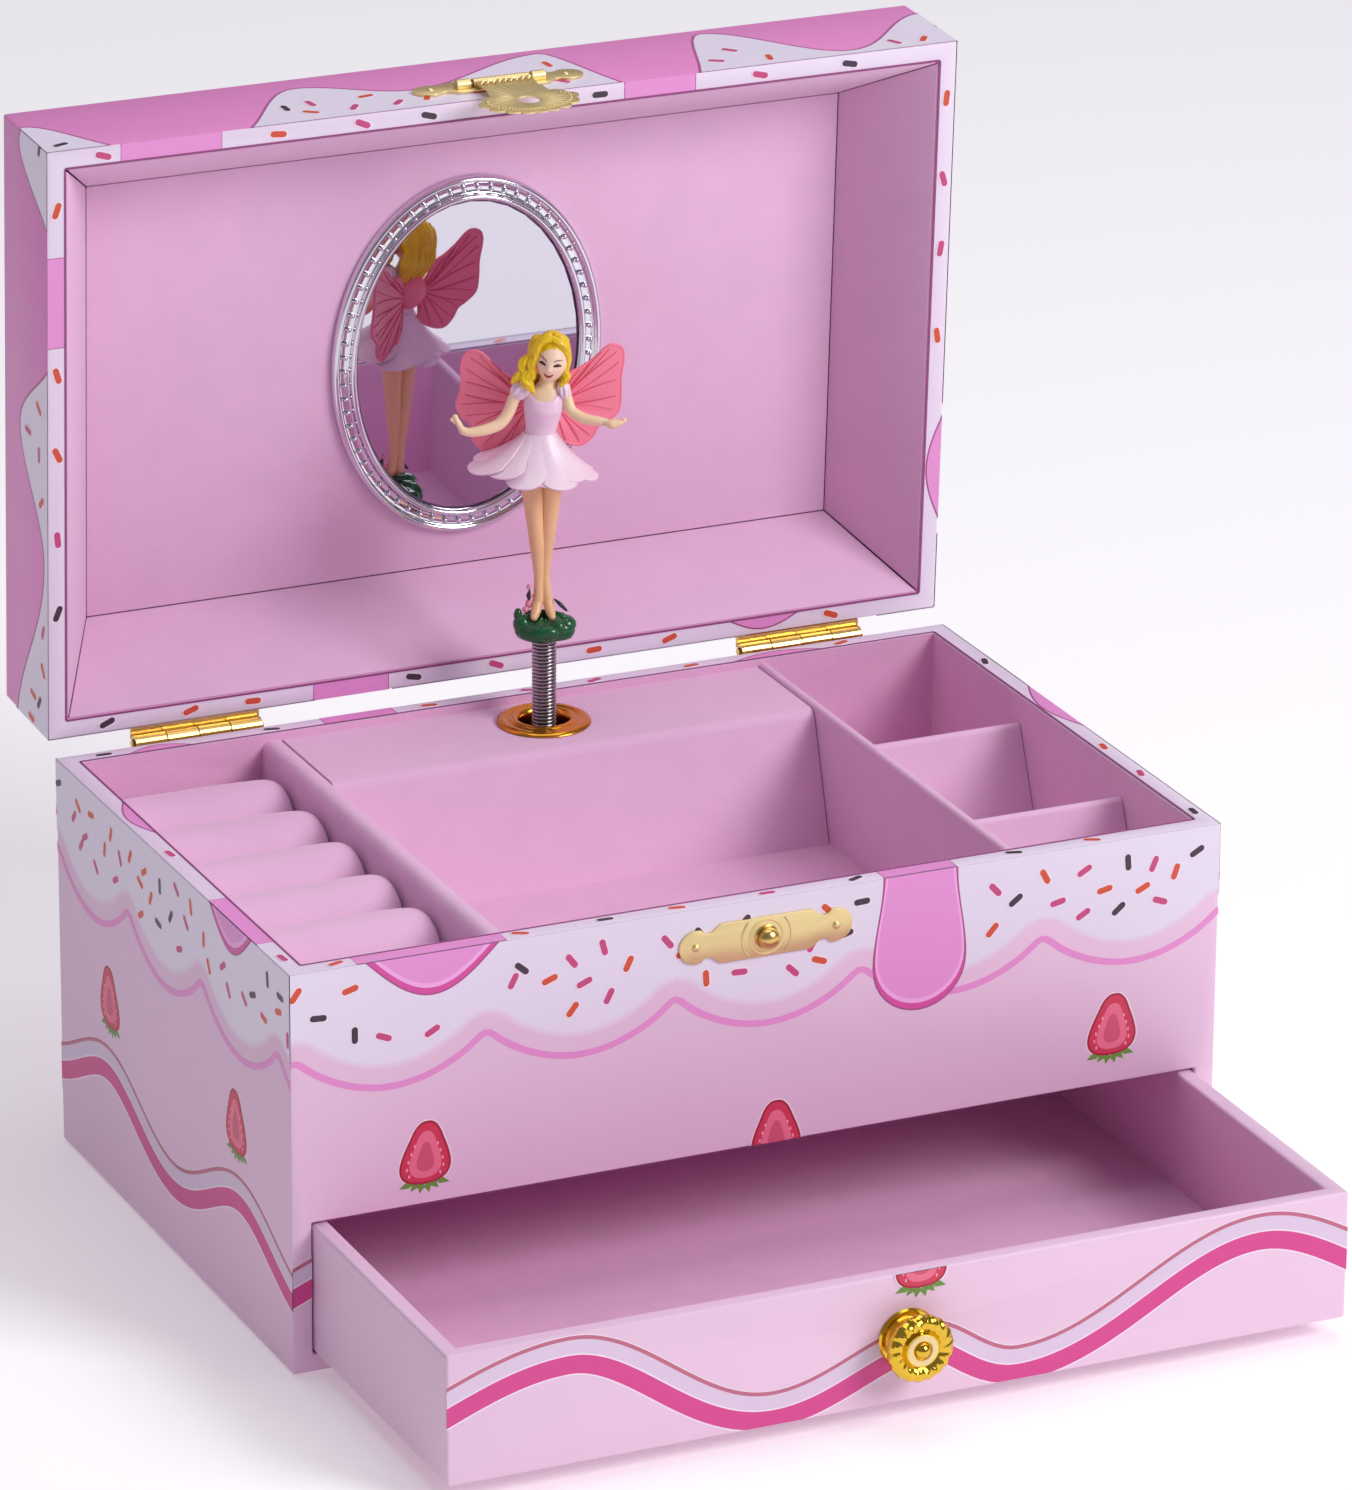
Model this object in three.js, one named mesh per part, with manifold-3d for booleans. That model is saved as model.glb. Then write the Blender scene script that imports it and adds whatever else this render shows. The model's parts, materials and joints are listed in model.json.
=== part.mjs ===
// Ballerina jewellery box: a paper-covered case with a hinged, mirrored lid, a lined tray,
// a pull-out drawer, and a wind-up musical movement that turns a dancer on a spring.
// Millimetres, +Z up. The origin is the centre of the case's underside, +X is the right-hand
// end and -Y is the front. The lid is open, the drawer is out and the dancer stands upright.

import * as THREE from 'three';
import { ConvexGeometry } from 'three/addons/geometries/ConvexGeometry.js';
import { mergeVertices } from 'three/addons/utils/BufferGeometryUtils.js';
import Module from 'manifold-3d';

const wasm = await Module();
wasm.setup();

// ---------------------------------------------------------------- driving dimensions

const gap = 0.3;                 // between pieces that are cut to each other or turned together

const box = {
  width: 250, depth: 158, height: 104.6,   // the case without its lid
  wall: 5.2, base: 4.6, back: 5.2,
};
const lid = {
  height: 31.1, top: 2.4, seam: 0.6,       // seam is the gap between case and lid when shut
  openAngle: 87.2,                         // degrees
  liningInset: 15, liningDepth: 27, liningThickness: 1.4, liningFloor: 1.2,
};
const drawer = {
  height: 33.5, travel: 81.8,              // travel is how far it stands out
  board: 4.4, floor: 2.6, sideGap: 0.4, underGap: 0.4, overGap: 0.8, backGap: 1.6,
};
const bay = { ceiling: 3 };
const tray = {
  depth: 35.9, floor: 2.5,
  ringWidth: 52.2, leftThickness: 6.2, leftDrop: 1.8,     // from the left wall to the divider's middle
  binWidth: 49.5, rightThickness: 2.6, rightDrop: 1.2,    // from the right wall to the divider's middle
  rearBin: 50.8, frontBin: 38.8, crossDrop: 7.8, crossThickness: 3, crossLean: 0.4,
};
const rolls = { count: 6, drop: 6, gap: 0.4, slack: 4.2 };   // slack is left behind the last roll
const platform = {
  depth: 34.3, drop: 2.2, board: 2.4, lean: 0.33, frontThickness: 2.4,
  notchHalf: 46,                           // half the opening in the tray floor, round the movement
};
const spindle = { x: 1.3, fromBack: 14.8, radius: 1.5, below: 3.4 };
const grommet = { radius: 12.25, hole: 6.4, tube: 7.3, flange: 1.8, tubeLength: 4.6 };
const spring = { radius: 3.25, wire: 0.9, below: 7.2, above: 24.8 };
const collar = { inside: 5, rim: 0.4, flange: 0.8 };
const hinge = {
  inset: 40, length: 35, knuckles: 4, barrel: 2.1, pin: 0.9, bore: 1.3,
  behind: 3.7, below: 0.8,                 // axis behind the back face and below the case's rim
  leaf: 0.9, leafHeight: 12, leafDrop: 1.4,
};
const catchPlate = { width: 46.6, height: 10.6, thickness: 0.9, drop: 9.9, ball: 3.5, ballReach: 4.4 };
const hasp = {
  rise: 7.8, stand: 1.5, thickness: 0.9,   // hinge line above the seam, and stand-off
  neck: 15.6, width: 28, reach: 20, hole: 4.4, knuckle: 1.3, pin: 0.55, bore: 0.9, ear: 4.4,
};
const mirror = { halfWidth: 37.7, halfHeight: 48.9, rim: 6.6, thickness: 3.4, glass: 1.2 };
const knob = { radius: 8.7, stem: 3.2, rosette: 7.8, disc: 9.2, boss: 3.4, reach: 10.6, screw: 1.6 };

const movement = {
  keyDrop: 22.4,                           // key's axis below the platform
  crownTeeth: 36, pinionTeeth: 12, crownRadius: 9.5, crownFace: 2.4, toothWidth: 0.4,
  wheelTeeth: 40, fanTeeth: 10, wheelRadius: 7.5, fineTooth: 0.3, fanRod: 0.5,
  cylinderRadius: 6, cylinderDrop: 14, cylinderLength: 16.6, pinLength: 0.6,
  combTeeth: 18, combHeel: 8.5, housingRadius: 12, springTurns: 5,
  plate: 2.5, shelf: 1.8, arbor: 1.75, foot: 2,
};
const key = { standOff: 1.6, hub: 3.1, bow: 11.5, length: 18.4, thickness: 2 };
const dancer = {
  turn: -24.5,                             // degrees about her spindle, from facing the front
  base: 8.5, baseHeight: 6, hem: 17.2, hemHeight: 41.5, waistHeight: 50.4,
  shoulderHeight: 61.6, headHeight: 72.6, headRadius: 5.2, handReach: 21.6, handHeight: 56,
  wingReach: 21.5, wingThickness: 1.1, wingsBehind: 5.8,
};

// Places that several pieces share.
const halfWidth = box.width / 2;
const halfDepth = box.depth / 2;
const insideX = halfWidth - box.wall;
const insideFront = -halfDepth + box.wall;
const insideBack = halfDepth - box.back;
const drawerBottom = box.base + drawer.underGap;
const bayTop = drawerBottom + drawer.height + drawer.overGap;
const bayFloorTop = bayTop + bay.ceiling;
const trayFloor = box.height - tray.depth;
const platformTop = box.height - platform.drop;
const platformFront = insideBack - platform.depth;
const spindleAt = { x: spindle.x, y: insideBack - spindle.fromBack };
const keyHeight = platformTop - movement.keyDrop;
const cylinderTop = keyHeight - movement.cylinderDrop;
const cylinderBottom = cylinderTop - movement.cylinderLength;
const lidBottom = box.height + lid.seam;
const hingeY = halfDepth + hinge.behind;
const hingeZ = box.height - hinge.below;
const hingeSpread = halfWidth - hinge.inset;
const catchZ = box.height - catchPlate.drop;
const springTop = platformTop + spring.above;
const dancerFoot = springTop + collar.flange + gap;

// ---------------------------------------------------------------- materials

const finish = (color, roughness, metalness = 0) =>
  new THREE.MeshStandardMaterial({ color, roughness, metalness });
const printedPaper = finish(0xe5bedb, 0.45);
const liningPaper = finish(0xdfa6d2, 0.95);
const velvet = finish(0xdc9fcd, 1);
const gilt = finish(0xd9a441, 0.25, 1);
const paleGilt = finish(0xd8bd6a, 0.3, 1);
const chrome = finish(0xd5d8de, 0.12, 1);
const glass = finish(0xbfc6d0, 0.03, 1);
const steel = finish(0x8e8a8c, 0.3, 1);
const brass = finish(0xb8923f, 0.35, 1);
const zinc = finish(0x9a9ca0, 0.5, 1);
const whitePlastic = finish(0xf2eef0, 0.4);
const paintedFigure = finish(0xf3cdbb, 0.45);
const wingPlastic = finish(0xf06a86, 0.35);

// ---------------------------------------------------------------- shape helpers

const vec = (x, y, z) => new THREE.Vector3(x, y, z);

function solid(shape) {
  if (shape instanceof wasm.Manifold) return shape;
  const source = shape.clone();
  source.deleteAttribute('normal');
  source.deleteAttribute('uv');
  const merged = mergeVertices(source, 1e-4);
  const index = Uint32Array.from(merged.index.array);
  const mesh = new wasm.Mesh({
    numProp: 3,
    vertProperties: Float32Array.from(merged.attributes.position.array),
    triVerts: index,
  });
  return new wasm.Manifold(mesh);
}

const join = (first, ...others) => others.reduce((sum, next) => sum.add(solid(next)), solid(first));
const cut = (first, ...others) => others.reduce((rest, next) => rest.subtract(solid(next)), solid(first));

function geometryOf(shape) {
  if (!(shape instanceof wasm.Manifold)) return shape;
  const mesh = shape.getMesh();
  const geometry = new THREE.BufferGeometry();
  geometry.setAttribute('position', new THREE.BufferAttribute(Float32Array.from(mesh.vertProperties), 3));
  geometry.setIndex(new THREE.BufferAttribute(Uint32Array.from(mesh.triVerts), 1));
  geometry.computeVertexNormals();
  return geometry;
}

// A block between two corners.
function block(x0, x1, y0, y1, z0, z1) {
  return new THREE.BoxGeometry(x1 - x0, y1 - y0, z1 - z0)
    .translate((x0 + x1) / 2, (y0 + y1) / 2, (z0 + z1) / 2);
}

// A round bar or cone along +Z from z0 to z1 at (x, y).
function post(x, y, z0, z1, radius, topRadius = radius, sides = 20) {
  return new THREE.CylinderGeometry(topRadius, radius, z1 - z0, sides)
    .rotateX(Math.PI / 2).translate(x, y, (z0 + z1) / 2);
}

// A round bar along +Y, or along +X.
function barY(x, z, y0, y1, radius, sides = 20) {
  return new THREE.CylinderGeometry(radius, radius, y1 - y0, sides).translate(x, (y0 + y1) / 2, z);
}
function barX(y, z, x0, x1, radius, sides = 16) {
  return new THREE.CylinderGeometry(radius, radius, x1 - x0, sides)
    .rotateZ(Math.PI / 2).translate((x0 + x1) / 2, y, z);
}

// A turned shape about Z from [radius, height] points, up the outside and down the inside.
function turned(points, sides = 32) {
  return new THREE.LatheGeometry(points.map(([r, z]) => new THREE.Vector2(r, z)), sides)
    .rotateX(Math.PI / 2);
}

// A flat outline given as [across, up] points, extruded: 'front' stands it facing -Y from y
// backwards by thickness, 'side' faces -X, and 'flat' lies on z.
function slab(points, direction, from, thickness, holes = []) {
  const outline = points instanceof THREE.Shape
    ? points : new THREE.Shape(points.map(([a, b]) => new THREE.Vector2(a, b)));
  outline.holes.push(...holes);
  const geometry = new THREE.ExtrudeGeometry(outline,
    { depth: thickness, bevelEnabled: false, curveSegments: 6 });
  if (direction === 'front') geometry.rotateX(Math.PI / 2).translate(0, from + thickness, 0);
  else if (direction === 'side') {
    geometry.rotateX(Math.PI / 2).rotateZ(Math.PI / 2).translate(from, 0, 0);
  } else geometry.translate(0, 0, from);
  return geometry;
}

function ellipseHole(x, y, a, b, points = 24) {
  const path = new THREE.Path();
  path.setFromPoints(new THREE.EllipseCurve(x, y, a, b).getPoints(points).slice(0, -1));
  return path;
}

const hull = (points) => new ConvexGeometry(points.map(([x, y, z]) => vec(x, y, z)));

// A four-sided tapering block, half sizes a at z0 and b at z1.
function frustum([ax, ay], z0, [bx, by], z1) {
  const corners = [[-1, -1], [1, -1], [1, 1], [-1, 1]];
  return hull([
    ...corners.map(([i, j]) => [i * ax, j * ay, z0]),
    ...corners.map(([i, j]) => [i * bx, j * by, z1]),
  ]);
}

// A round bar between any two points.
function limb(from, to, radius, endRadius = radius, sides = 10) {
  const a = vec(...from);
  const b = vec(...to);
  const geometry = new THREE.CylinderGeometry(endRadius, radius, a.distanceTo(b), sides);
  const turn = new THREE.Quaternion().setFromUnitVectors(vec(0, 1, 0), b.clone().sub(a).normalize());
  return geometry.applyQuaternion(turn).translate(...a.add(b).multiplyScalar(0.5).toArray());
}

const ball = (x, y, z, radius, sides = 12) =>
  new THREE.SphereGeometry(radius, sides, Math.round(sides * 0.7)).rotateX(Math.PI / 2).translate(x, y, z);

function piece(parent, name, shape, material) {
  const mesh = new THREE.Mesh(geometryOf(shape), material);
  mesh.name = name;
  parent.add(mesh);
  return mesh;
}

const model = new THREE.Group();

// ---------------------------------------------------------------- case

function buildCase(group) {
  const back = cut(
    block(-insideX, insideX, insideBack, halfDepth, box.base, box.height),
    barY(spindleAt.x, keyHeight, insideBack - 1, halfDepth + 1, movement.arbor + 0.9));
  piece(group, 'case_base', block(-insideX, insideX, -halfDepth, halfDepth, 0, box.base), printedPaper);
  piece(group, 'case_left_side',
    block(-halfWidth, -insideX, -halfDepth, halfDepth, 0, box.height), printedPaper);
  piece(group, 'case_right_side',
    block(insideX, halfWidth, -halfDepth, halfDepth, 0, box.height), printedPaper);
  piece(group, 'case_back', back, printedPaper);
  piece(group, 'case_front',
    block(-insideX, insideX, -halfDepth, insideFront, bayTop, box.height), printedPaper);
  piece(group, 'bay_ceiling',
    block(-insideX, insideX, insideFront, insideBack, bayTop, bayFloorTop), liningPaper);
}

// ---------------------------------------------------------------- tray

const leftDividerFace = -insideX + tray.ringWidth - tray.leftThickness / 2;
const leftDividerInner = leftDividerFace + tray.leftThickness;
const rightDividerFace = insideX - tray.binWidth + tray.rightThickness / 2;
const rightDividerInner = rightDividerFace - tray.rightThickness;
const rollPitch = (insideBack - insideFront - gap - rolls.slack) / rolls.count;

function roundTopped(x0, x1, z0, z1) {
  const radius = (x1 - x0) / 2;
  const outline = new THREE.Shape();
  outline.moveTo(x0, z0);
  outline.lineTo(x1, z0);
  outline.lineTo(x1, z1 - radius);
  outline.absarc(x0 + radius, z1 - radius, radius, 0, Math.PI, false);
  outline.lineTo(x0, z0);
  return outline;
}

function crossDivider(y, x0, x1) {
  const top = box.height - tray.crossDrop;
  const lean = (top - trayFloor) * tray.crossLean;
  const back = y + tray.crossThickness / 2;
  const frontTop = y - tray.crossThickness / 2;
  return slab([[back, trayFloor], [back, top], [frontTop, top], [frontTop - lean, trayFloor]],
    'side', x0, x1 - x0);
}

function ringRoll(y) {
  const radius = (rollPitch - rolls.gap) / 2;
  return slab(roundTopped(y - radius, y + radius, trayFloor, box.height - rolls.drop), 'side',
    -insideX + rolls.gap, leftDividerFace - gap + insideX - rolls.gap);
}

function buildTray(group) {
  const board = block(-insideX, insideX, insideFront, insideBack, trayFloor - tray.floor, trayFloor);
  const notch = block(spindleAt.x - platform.notchHalf, spindleAt.x + platform.notchHalf,
    platformFront + platform.frontThickness, insideBack + 1, trayFloor - tray.floor - 1, trayFloor + 1);
  piece(group, 'tray_floor', cut(board, notch), liningPaper);
  piece(group, 'left_divider',
    slab(roundTopped(leftDividerFace, leftDividerInner, trayFloor, box.height - tray.leftDrop),
      'front', insideFront, insideBack - insideFront), velvet);
  piece(group, 'right_divider',
    slab(roundTopped(rightDividerInner, rightDividerFace, trayFloor, box.height - tray.rightDrop),
      'front', insideFront, insideBack - insideFront), velvet);
  piece(group, 'rear_cross_divider',
    crossDivider(insideBack - tray.rearBin, rightDividerFace + gap, insideX - gap), velvet);
  piece(group, 'front_cross_divider',
    crossDivider(insideFront + tray.frontBin, rightDividerFace + gap, insideX - gap), velvet);
  for (let i = 0; i < rolls.count; i += 1) {
    const y = insideFront + gap + rollPitch * (rolls.count - i - 0.5);
    piece(group, `ring_roll_${i + 1}`, ringRoll(y), velvet);
  }
}

// ---------------------------------------------------------------- platform over the movement

function buildPlatform(group) {
  const x0 = leftDividerInner + gap;
  const x1 = rightDividerInner - gap;
  const under = platformTop - platform.board;
  const lean = (under - trayFloor) * platform.lean;
  const top = cut(
    block(x0, x1, platformFront, insideBack, under, platformTop),
    post(spindleAt.x, spindleAt.y, under - 1, platformTop + 1, grommet.tube + gap, grommet.tube + gap, 24));
  const y = platformFront;
  const front = slab([
    [y, under - gap], [y - lean, trayFloor],
    [y - lean + platform.frontThickness, trayFloor], [y + platform.frontThickness, under - gap],
  ], 'side', x0, x1 - x0);
  piece(group, 'platform_top', top, velvet);
  piece(group, 'platform_front', front, velvet);
  const g = grommet;
  const ring = turned([
    [g.hole, platformTop - g.tubeLength], [g.tube, platformTop - g.tubeLength],
    [g.tube, platformTop + 0.1], [g.radius, platformTop + 0.1], [g.radius, platformTop + 0.6],
    [g.radius * 0.86, platformTop + g.flange], [g.hole * 1.12, platformTop + g.flange * 0.8],
    [g.hole, platformTop + g.flange * 0.2], [g.hole, platformTop - g.tubeLength],
  ], 28).translate(spindleAt.x, spindleAt.y, 0);
  piece(group, 'spindle_grommet', ring, gilt);
}

// ---------------------------------------------------------------- lid hinges

// Knuckles of one leaf: every second segment of the barrel, starting at the given one.
function hingeKnuckles(centre, first, inflate = 0) {
  const length = hinge.length / hinge.knuckles;
  const bars = [];
  for (let i = first; i < hinge.knuckles; i += 2) {
    const start = centre - hinge.length / 2 + i * length + gap / 2 - inflate;
    bars.push(barX(hingeY, hingeZ, start, start + length - gap + 2 * inflate, hinge.barrel + inflate));
  }
  return bars;
}

function hingeLeaf(centre, onLid) {
  const x0 = centre - hinge.length / 2;
  const x1 = centre + hinge.length / 2;
  const side = onLid ? 1 : -1;
  const edge = onLid ? lidBottom : box.height - hinge.leafDrop;
  const far = edge + side * hinge.leafHeight;
  const plate = block(x0, x1, halfDepth, halfDepth + hinge.leaf, Math.min(edge, far), Math.max(edge, far));
  const webEnd = edge + side * hinge.leaf;
  const reach = onLid ? hingeY : hingeY - hinge.bore;
  const web = block(x0, x1, halfDepth, reach, Math.min(edge, webEnd), Math.max(edge, webEnd));
  const first = onLid ? 1 : 0;
  return cut(
    join(plate, web, ...hingeKnuckles(centre, first)),
    ...hingeKnuckles(centre, 1 - first, gap),
    barX(hingeY, hingeZ, x0 - 1, x1 + 1, hinge.bore, 12));
}

function buildHingesOnCase(group) {
  for (const [side, centre] of [['left', -hingeSpread], ['right', hingeSpread]]) {
    piece(group, `${side}_hinge_case_leaf`, hingeLeaf(centre, false), gilt);
    piece(group, `${side}_hinge_pin`, barX(hingeY, hingeZ,
      centre - hinge.length / 2 - 0.5, centre + hinge.length / 2 + 0.5, hinge.pin, 12), gilt);
  }
}

// ---------------------------------------------------------------- lid, modelled shut

function buildLid(group) {
  const top = lidBottom + lid.height;
  const under = top - lid.top;
  const wallTop = under - gap;
  piece(group, 'lid_top', block(-halfWidth, halfWidth, -halfDepth, halfDepth, under, top), printedPaper);
  piece(group, 'lid_front_wall', block(-insideX + gap, insideX - gap, -halfDepth,
    -halfDepth + box.wall, lidBottom, wallTop), printedPaper);
  piece(group, 'lid_back_wall', block(-insideX + gap, insideX - gap, halfDepth - box.wall,
    halfDepth, lidBottom, wallTop), printedPaper);
  piece(group, 'lid_left_wall', block(-halfWidth, -insideX, -halfDepth, halfDepth, lidBottom, wallTop),
    printedPaper);
  piece(group, 'lid_right_wall', block(insideX, halfWidth, -halfDepth, halfDepth, lidBottom, wallTop),
    printedPaper);

  // The lining is a shallow dish: sloped sides down to a flat panel.
  const rimX = insideX - gap;
  const rimY = halfDepth - box.wall - gap;
  const t = lid.liningThickness;
  const panel = lidBottom + lid.liningDepth;
  const inset = lid.liningInset;
  const steepness = inset / lid.liningDepth;
  const outer = frustum([rimX, rimY], lidBottom,
    [rimX - inset, rimY - inset], panel + lid.liningFloor);
  const overshoot = 1;
  const hollow = frustum([rimX - t + steepness * overshoot, rimY - t + steepness * overshoot],
    lidBottom - overshoot, [rimX - t - inset, rimY - t - inset], panel);
  piece(group, 'lid_lining', cut(outer, hollow), velvet);

  const bezelBack = panel - gap;
  const glassHalf = [mirror.halfWidth - mirror.rim, mirror.halfHeight - mirror.rim];
  const oval = new THREE.Shape();
  oval.absellipse(0, 0, mirror.halfWidth, mirror.halfHeight, 0, Math.PI * 2, false);
  const bezel = cut(
    slab(new THREE.Shape(oval.getPoints(8).slice(0, -1)), 'flat',
      bezelBack - mirror.thickness, mirror.thickness),
    slab(ellipseHole(0, 0, ...glassHalf, 36).getPoints().map((p) => [p.x, p.y]), 'flat',
      bezelBack - mirror.thickness - 1, mirror.thickness + 2));
  piece(group, 'mirror_bezel', bezel, chrome);
  piece(group, 'mirror_glass', slab(
    ellipseHole(0, 0, glassHalf[0] - gap, glassHalf[1] - gap, 36).getPoints().map((p) => [p.x, p.y]),
    'flat', bezelBack - mirror.glass, mirror.glass), glass);

  for (const [side, centre] of [['left', -hingeSpread], ['right', hingeSpread]]) {
    piece(group, `${side}_hinge_lid_leaf`, hingeLeaf(centre, true), gilt);
  }
}

// ---------------------------------------------------------------- catch and hasp

// A wavy plate with round ends, about (0, centre), as [across, up] points.
function wavyOutline(width, height, centre) {
  const points = [];
  const steps = 24;
  for (let i = 0; i <= steps; i += 1) {
    const u = -1 + (2 * i) / steps;
    const end = Math.sqrt(Math.max(0, 1 - Math.abs(u) ** 6));
    const wave = 0.76 + 0.24 * Math.cos(u * Math.PI * 3);
    points.push([u * width / 2, centre - height / 2 * wave * end]);
  }
  const upper = points.slice(1, -1).reverse().map(([x, z]) => [x, 2 * centre - z]);
  return [...points, ...upper];
}

function buildCatch(group) {
  const face = -halfDepth;
  const plate = slab(wavyOutline(catchPlate.width, catchPlate.height, catchZ), 'front',
    face - catchPlate.thickness, catchPlate.thickness);
  const pins = [-1, 1].map((side) => barY(side * catchPlate.width * 0.41, catchZ,
    face - catchPlate.thickness - 0.5, face - 0.1, 0.9, 12));
  const ring = barY(0, catchZ, face - catchPlate.thickness - 0.5, face - 0.1, catchPlate.ball + 1.4, 24);
  const seat = barY(0, catchZ, face - catchPlate.thickness - 1, face + 1, 1.2, 12);
  piece(group, 'catch_plate', cut(join(plate, ...pins, ring), seat), paleGilt);
  const centreY = face - catchPlate.ballReach + catchPlate.ball * 0.8;
  const stud = join(
    cut(ball(0, centreY, catchZ, catchPlate.ball, 16),
      block(-5, 5, face - catchPlate.thickness - 0.5 - 0.1, face + 9, catchZ - 5, catchZ + 5)),
    barY(0, catchZ, centreY, face - gap, 0.8, 10));
  piece(group, 'catch_ball', stud, paleGilt);
}

const haspZ = lidBottom + hasp.rise;
const haspY = -halfDepth - hasp.knuckle - gap;

function buildHaspPlate(group) {
  const face = -halfDepth;
  const plate = slab(wavyOutline(catchPlate.width, catchPlate.height, haspZ + 1.2), 'front',
    face - catchPlate.thickness, catchPlate.thickness);
  const ears = [-1, 1].map((side) => {
    const inner = side * (hasp.neck / 2 + gap);
    const outer = inner + side * hasp.ear;
    return join(
      barX(haspY, haspZ, Math.min(inner, outer), Math.max(inner, outer), hasp.knuckle, 14),
      block(Math.min(inner, outer), Math.max(inner, outer), haspY, face - 0.1,
        haspZ - hasp.knuckle, haspZ + hasp.knuckle));
  });
  const relief = barX(haspY, haspZ, -hasp.neck / 2 - gap, hasp.neck / 2 + gap, hasp.knuckle + gap, 16);
  const bore = barX(haspY, haspZ, -20, 20, hasp.bore, 12);
  piece(group, 'hasp_plate', cut(join(plate, ...ears), relief, bore), paleGilt);
  const pinHalf = hasp.neck / 2 + hasp.ear;
  piece(group, 'hasp_pin', barX(haspY, haspZ, -pinHalf, pinHalf, hasp.pin, 10), paleGilt);
}

// The hasp is a scalloped shell that hangs from its knuckle down over the catch ball.
function haspOutline() {
  const scallops = 7;
  const outline = [[-hasp.neck / 2, haspZ], [-hasp.neck / 2, haspZ - 4]];
  const bottom = lidBottom - hasp.reach;
  const middle = lidBottom - 2;
  const steps = scallops * 4;
  for (let i = 0; i <= steps; i += 1) {
    const angle = Math.PI * (1 + i / steps);
    const ripple = 1 - 0.06 * Math.abs(Math.cos((i / 4) * Math.PI));
    outline.push([
      hasp.width / 2 * Math.cos(angle) * ripple,
      middle + (middle - bottom) * Math.sin(angle) * ripple,
    ]);
  }
  outline.push([hasp.neck / 2, haspZ - 4], [hasp.neck / 2, haspZ]);
  return outline;
}

function buildHasp(group) {
  const front = -halfDepth - catchPlate.thickness - hasp.stand;
  const shell = slab(haspOutline(), 'front', front, hasp.thickness);
  const knuckle = barX(haspY, haspZ, -hasp.neck / 2, hasp.neck / 2, hasp.knuckle, 14);
  const hole = barY(0, catchZ, front - 1, front + hasp.thickness + 1, hasp.hole, 24);
  const bore = barX(haspY, haspZ, -hasp.neck, hasp.neck, hasp.bore, 12);
  piece(group, 'hasp', cut(join(shell, knuckle), hole, bore), paleGilt);
}

// ---------------------------------------------------------------- drawer

function buildDrawer(group) {
  const front = -halfDepth - drawer.travel;
  const back = insideBack - drawer.backGap - drawer.travel;
  const half = insideX - drawer.sideGap;
  const z0 = drawerBottom;
  const z1 = drawerBottom + drawer.height;
  const b = drawer.board;
  const bore = barY(0, (z0 + z1) / 2, front - 1, front + b + 1, knob.screw + gap, 12);
  piece(group, 'drawer_front', cut(block(-half, half, front, front + b, z0, z1), bore), printedPaper);
  piece(group, 'drawer_back', block(-half, half, back - b, back, z0, z1), printedPaper);
  piece(group, 'drawer_left_side', block(-half, -half + b, front + b, back - b, z0, z1), printedPaper);
  piece(group, 'drawer_right_side', block(half - b, half, front + b, back - b, z0, z1), printedPaper);
  piece(group, 'drawer_floor',
    block(-half + b, half - b, front + b, back - b, z0, z0 + drawer.floor), liningPaper);

  const k = knob;
  const profile = [
    [0, 0], [k.rosette, 0], [k.rosette, 0.8], [k.rosette * 0.75, 1.8], [k.stem, 2.8],
    [k.stem, k.disc - 4.2], [k.radius * 0.8, k.disc - 3], [k.radius, k.disc - 1.8],
    [k.radius, k.disc - 0.6], [k.radius * 0.9, k.disc], [k.boss, k.disc - 0.3],
    [k.boss, k.reach - 0.4], [k.boss * 0.7, k.reach], [0, k.reach],
  ];
  const z = (z0 + z1) / 2;
  const casting = turned(profile, 24).rotateX(Math.PI / 2).translate(0, front, z);
  const thread = barY(0, z, front - k.disc + 4, front + 1, k.screw + gap, 12);
  piece(group, 'drawer_knob', cut(casting, thread), gilt);
  piece(group, 'knob_screw', join(
    barY(0, z, front - k.disc + 4 + gap, front + b + 0.5, k.screw, 12),
    barY(0, z, front + b + 0.2, front + b + 1.6, k.screw * 2, 16)), steel);
}

// ---------------------------------------------------------------- musical movement

const axisY = { x: spindleAt.x, z: keyHeight };
const crownPitchY = spindleAt.y + movement.crownRadius * movement.pinionTeeth / movement.crownTeeth;
const crownTip = crownPitchY - 0.8;
const crownDisc = crownPitchY + 0.85;
const crownBack = crownDisc + 1.2;
const frameFront = insideBack - gap - movement.plate;
const combX = spindleAt.x - movement.cylinderRadius - movement.pinLength - 0.4;
const fanX = spindleAt.x + movement.wheelRadius * (1 + movement.fanTeeth / movement.wheelTeeth);
const combFree = 11;             // the comb's free teeth
const footZ = bayFloorTop + movement.foot;
const pinionZ = keyHeight + movement.crownRadius;
const pinionHalf = movement.crownFace / 2;

// Straight teeth standing out of a disc, about Z: the pitch circle and how far they reach.
function toothedDisc(radius, teeth, width, z0, z1, reach, phase = 0) {
  const root = radius - reach;
  let gear = solid(post(0, 0, z0, z1, root, root, Math.max(16, teeth)));
  for (let i = 0; i < teeth; i += 1) {
    const tooth = block(root - 0.4, radius + reach - 0.15, -width / 2, width / 2, z0, z1)
      .rotateZ(phase + (i * 2 * Math.PI) / teeth);
    gear = gear.add(solid(tooth));
  }
  return gear;
}

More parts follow.
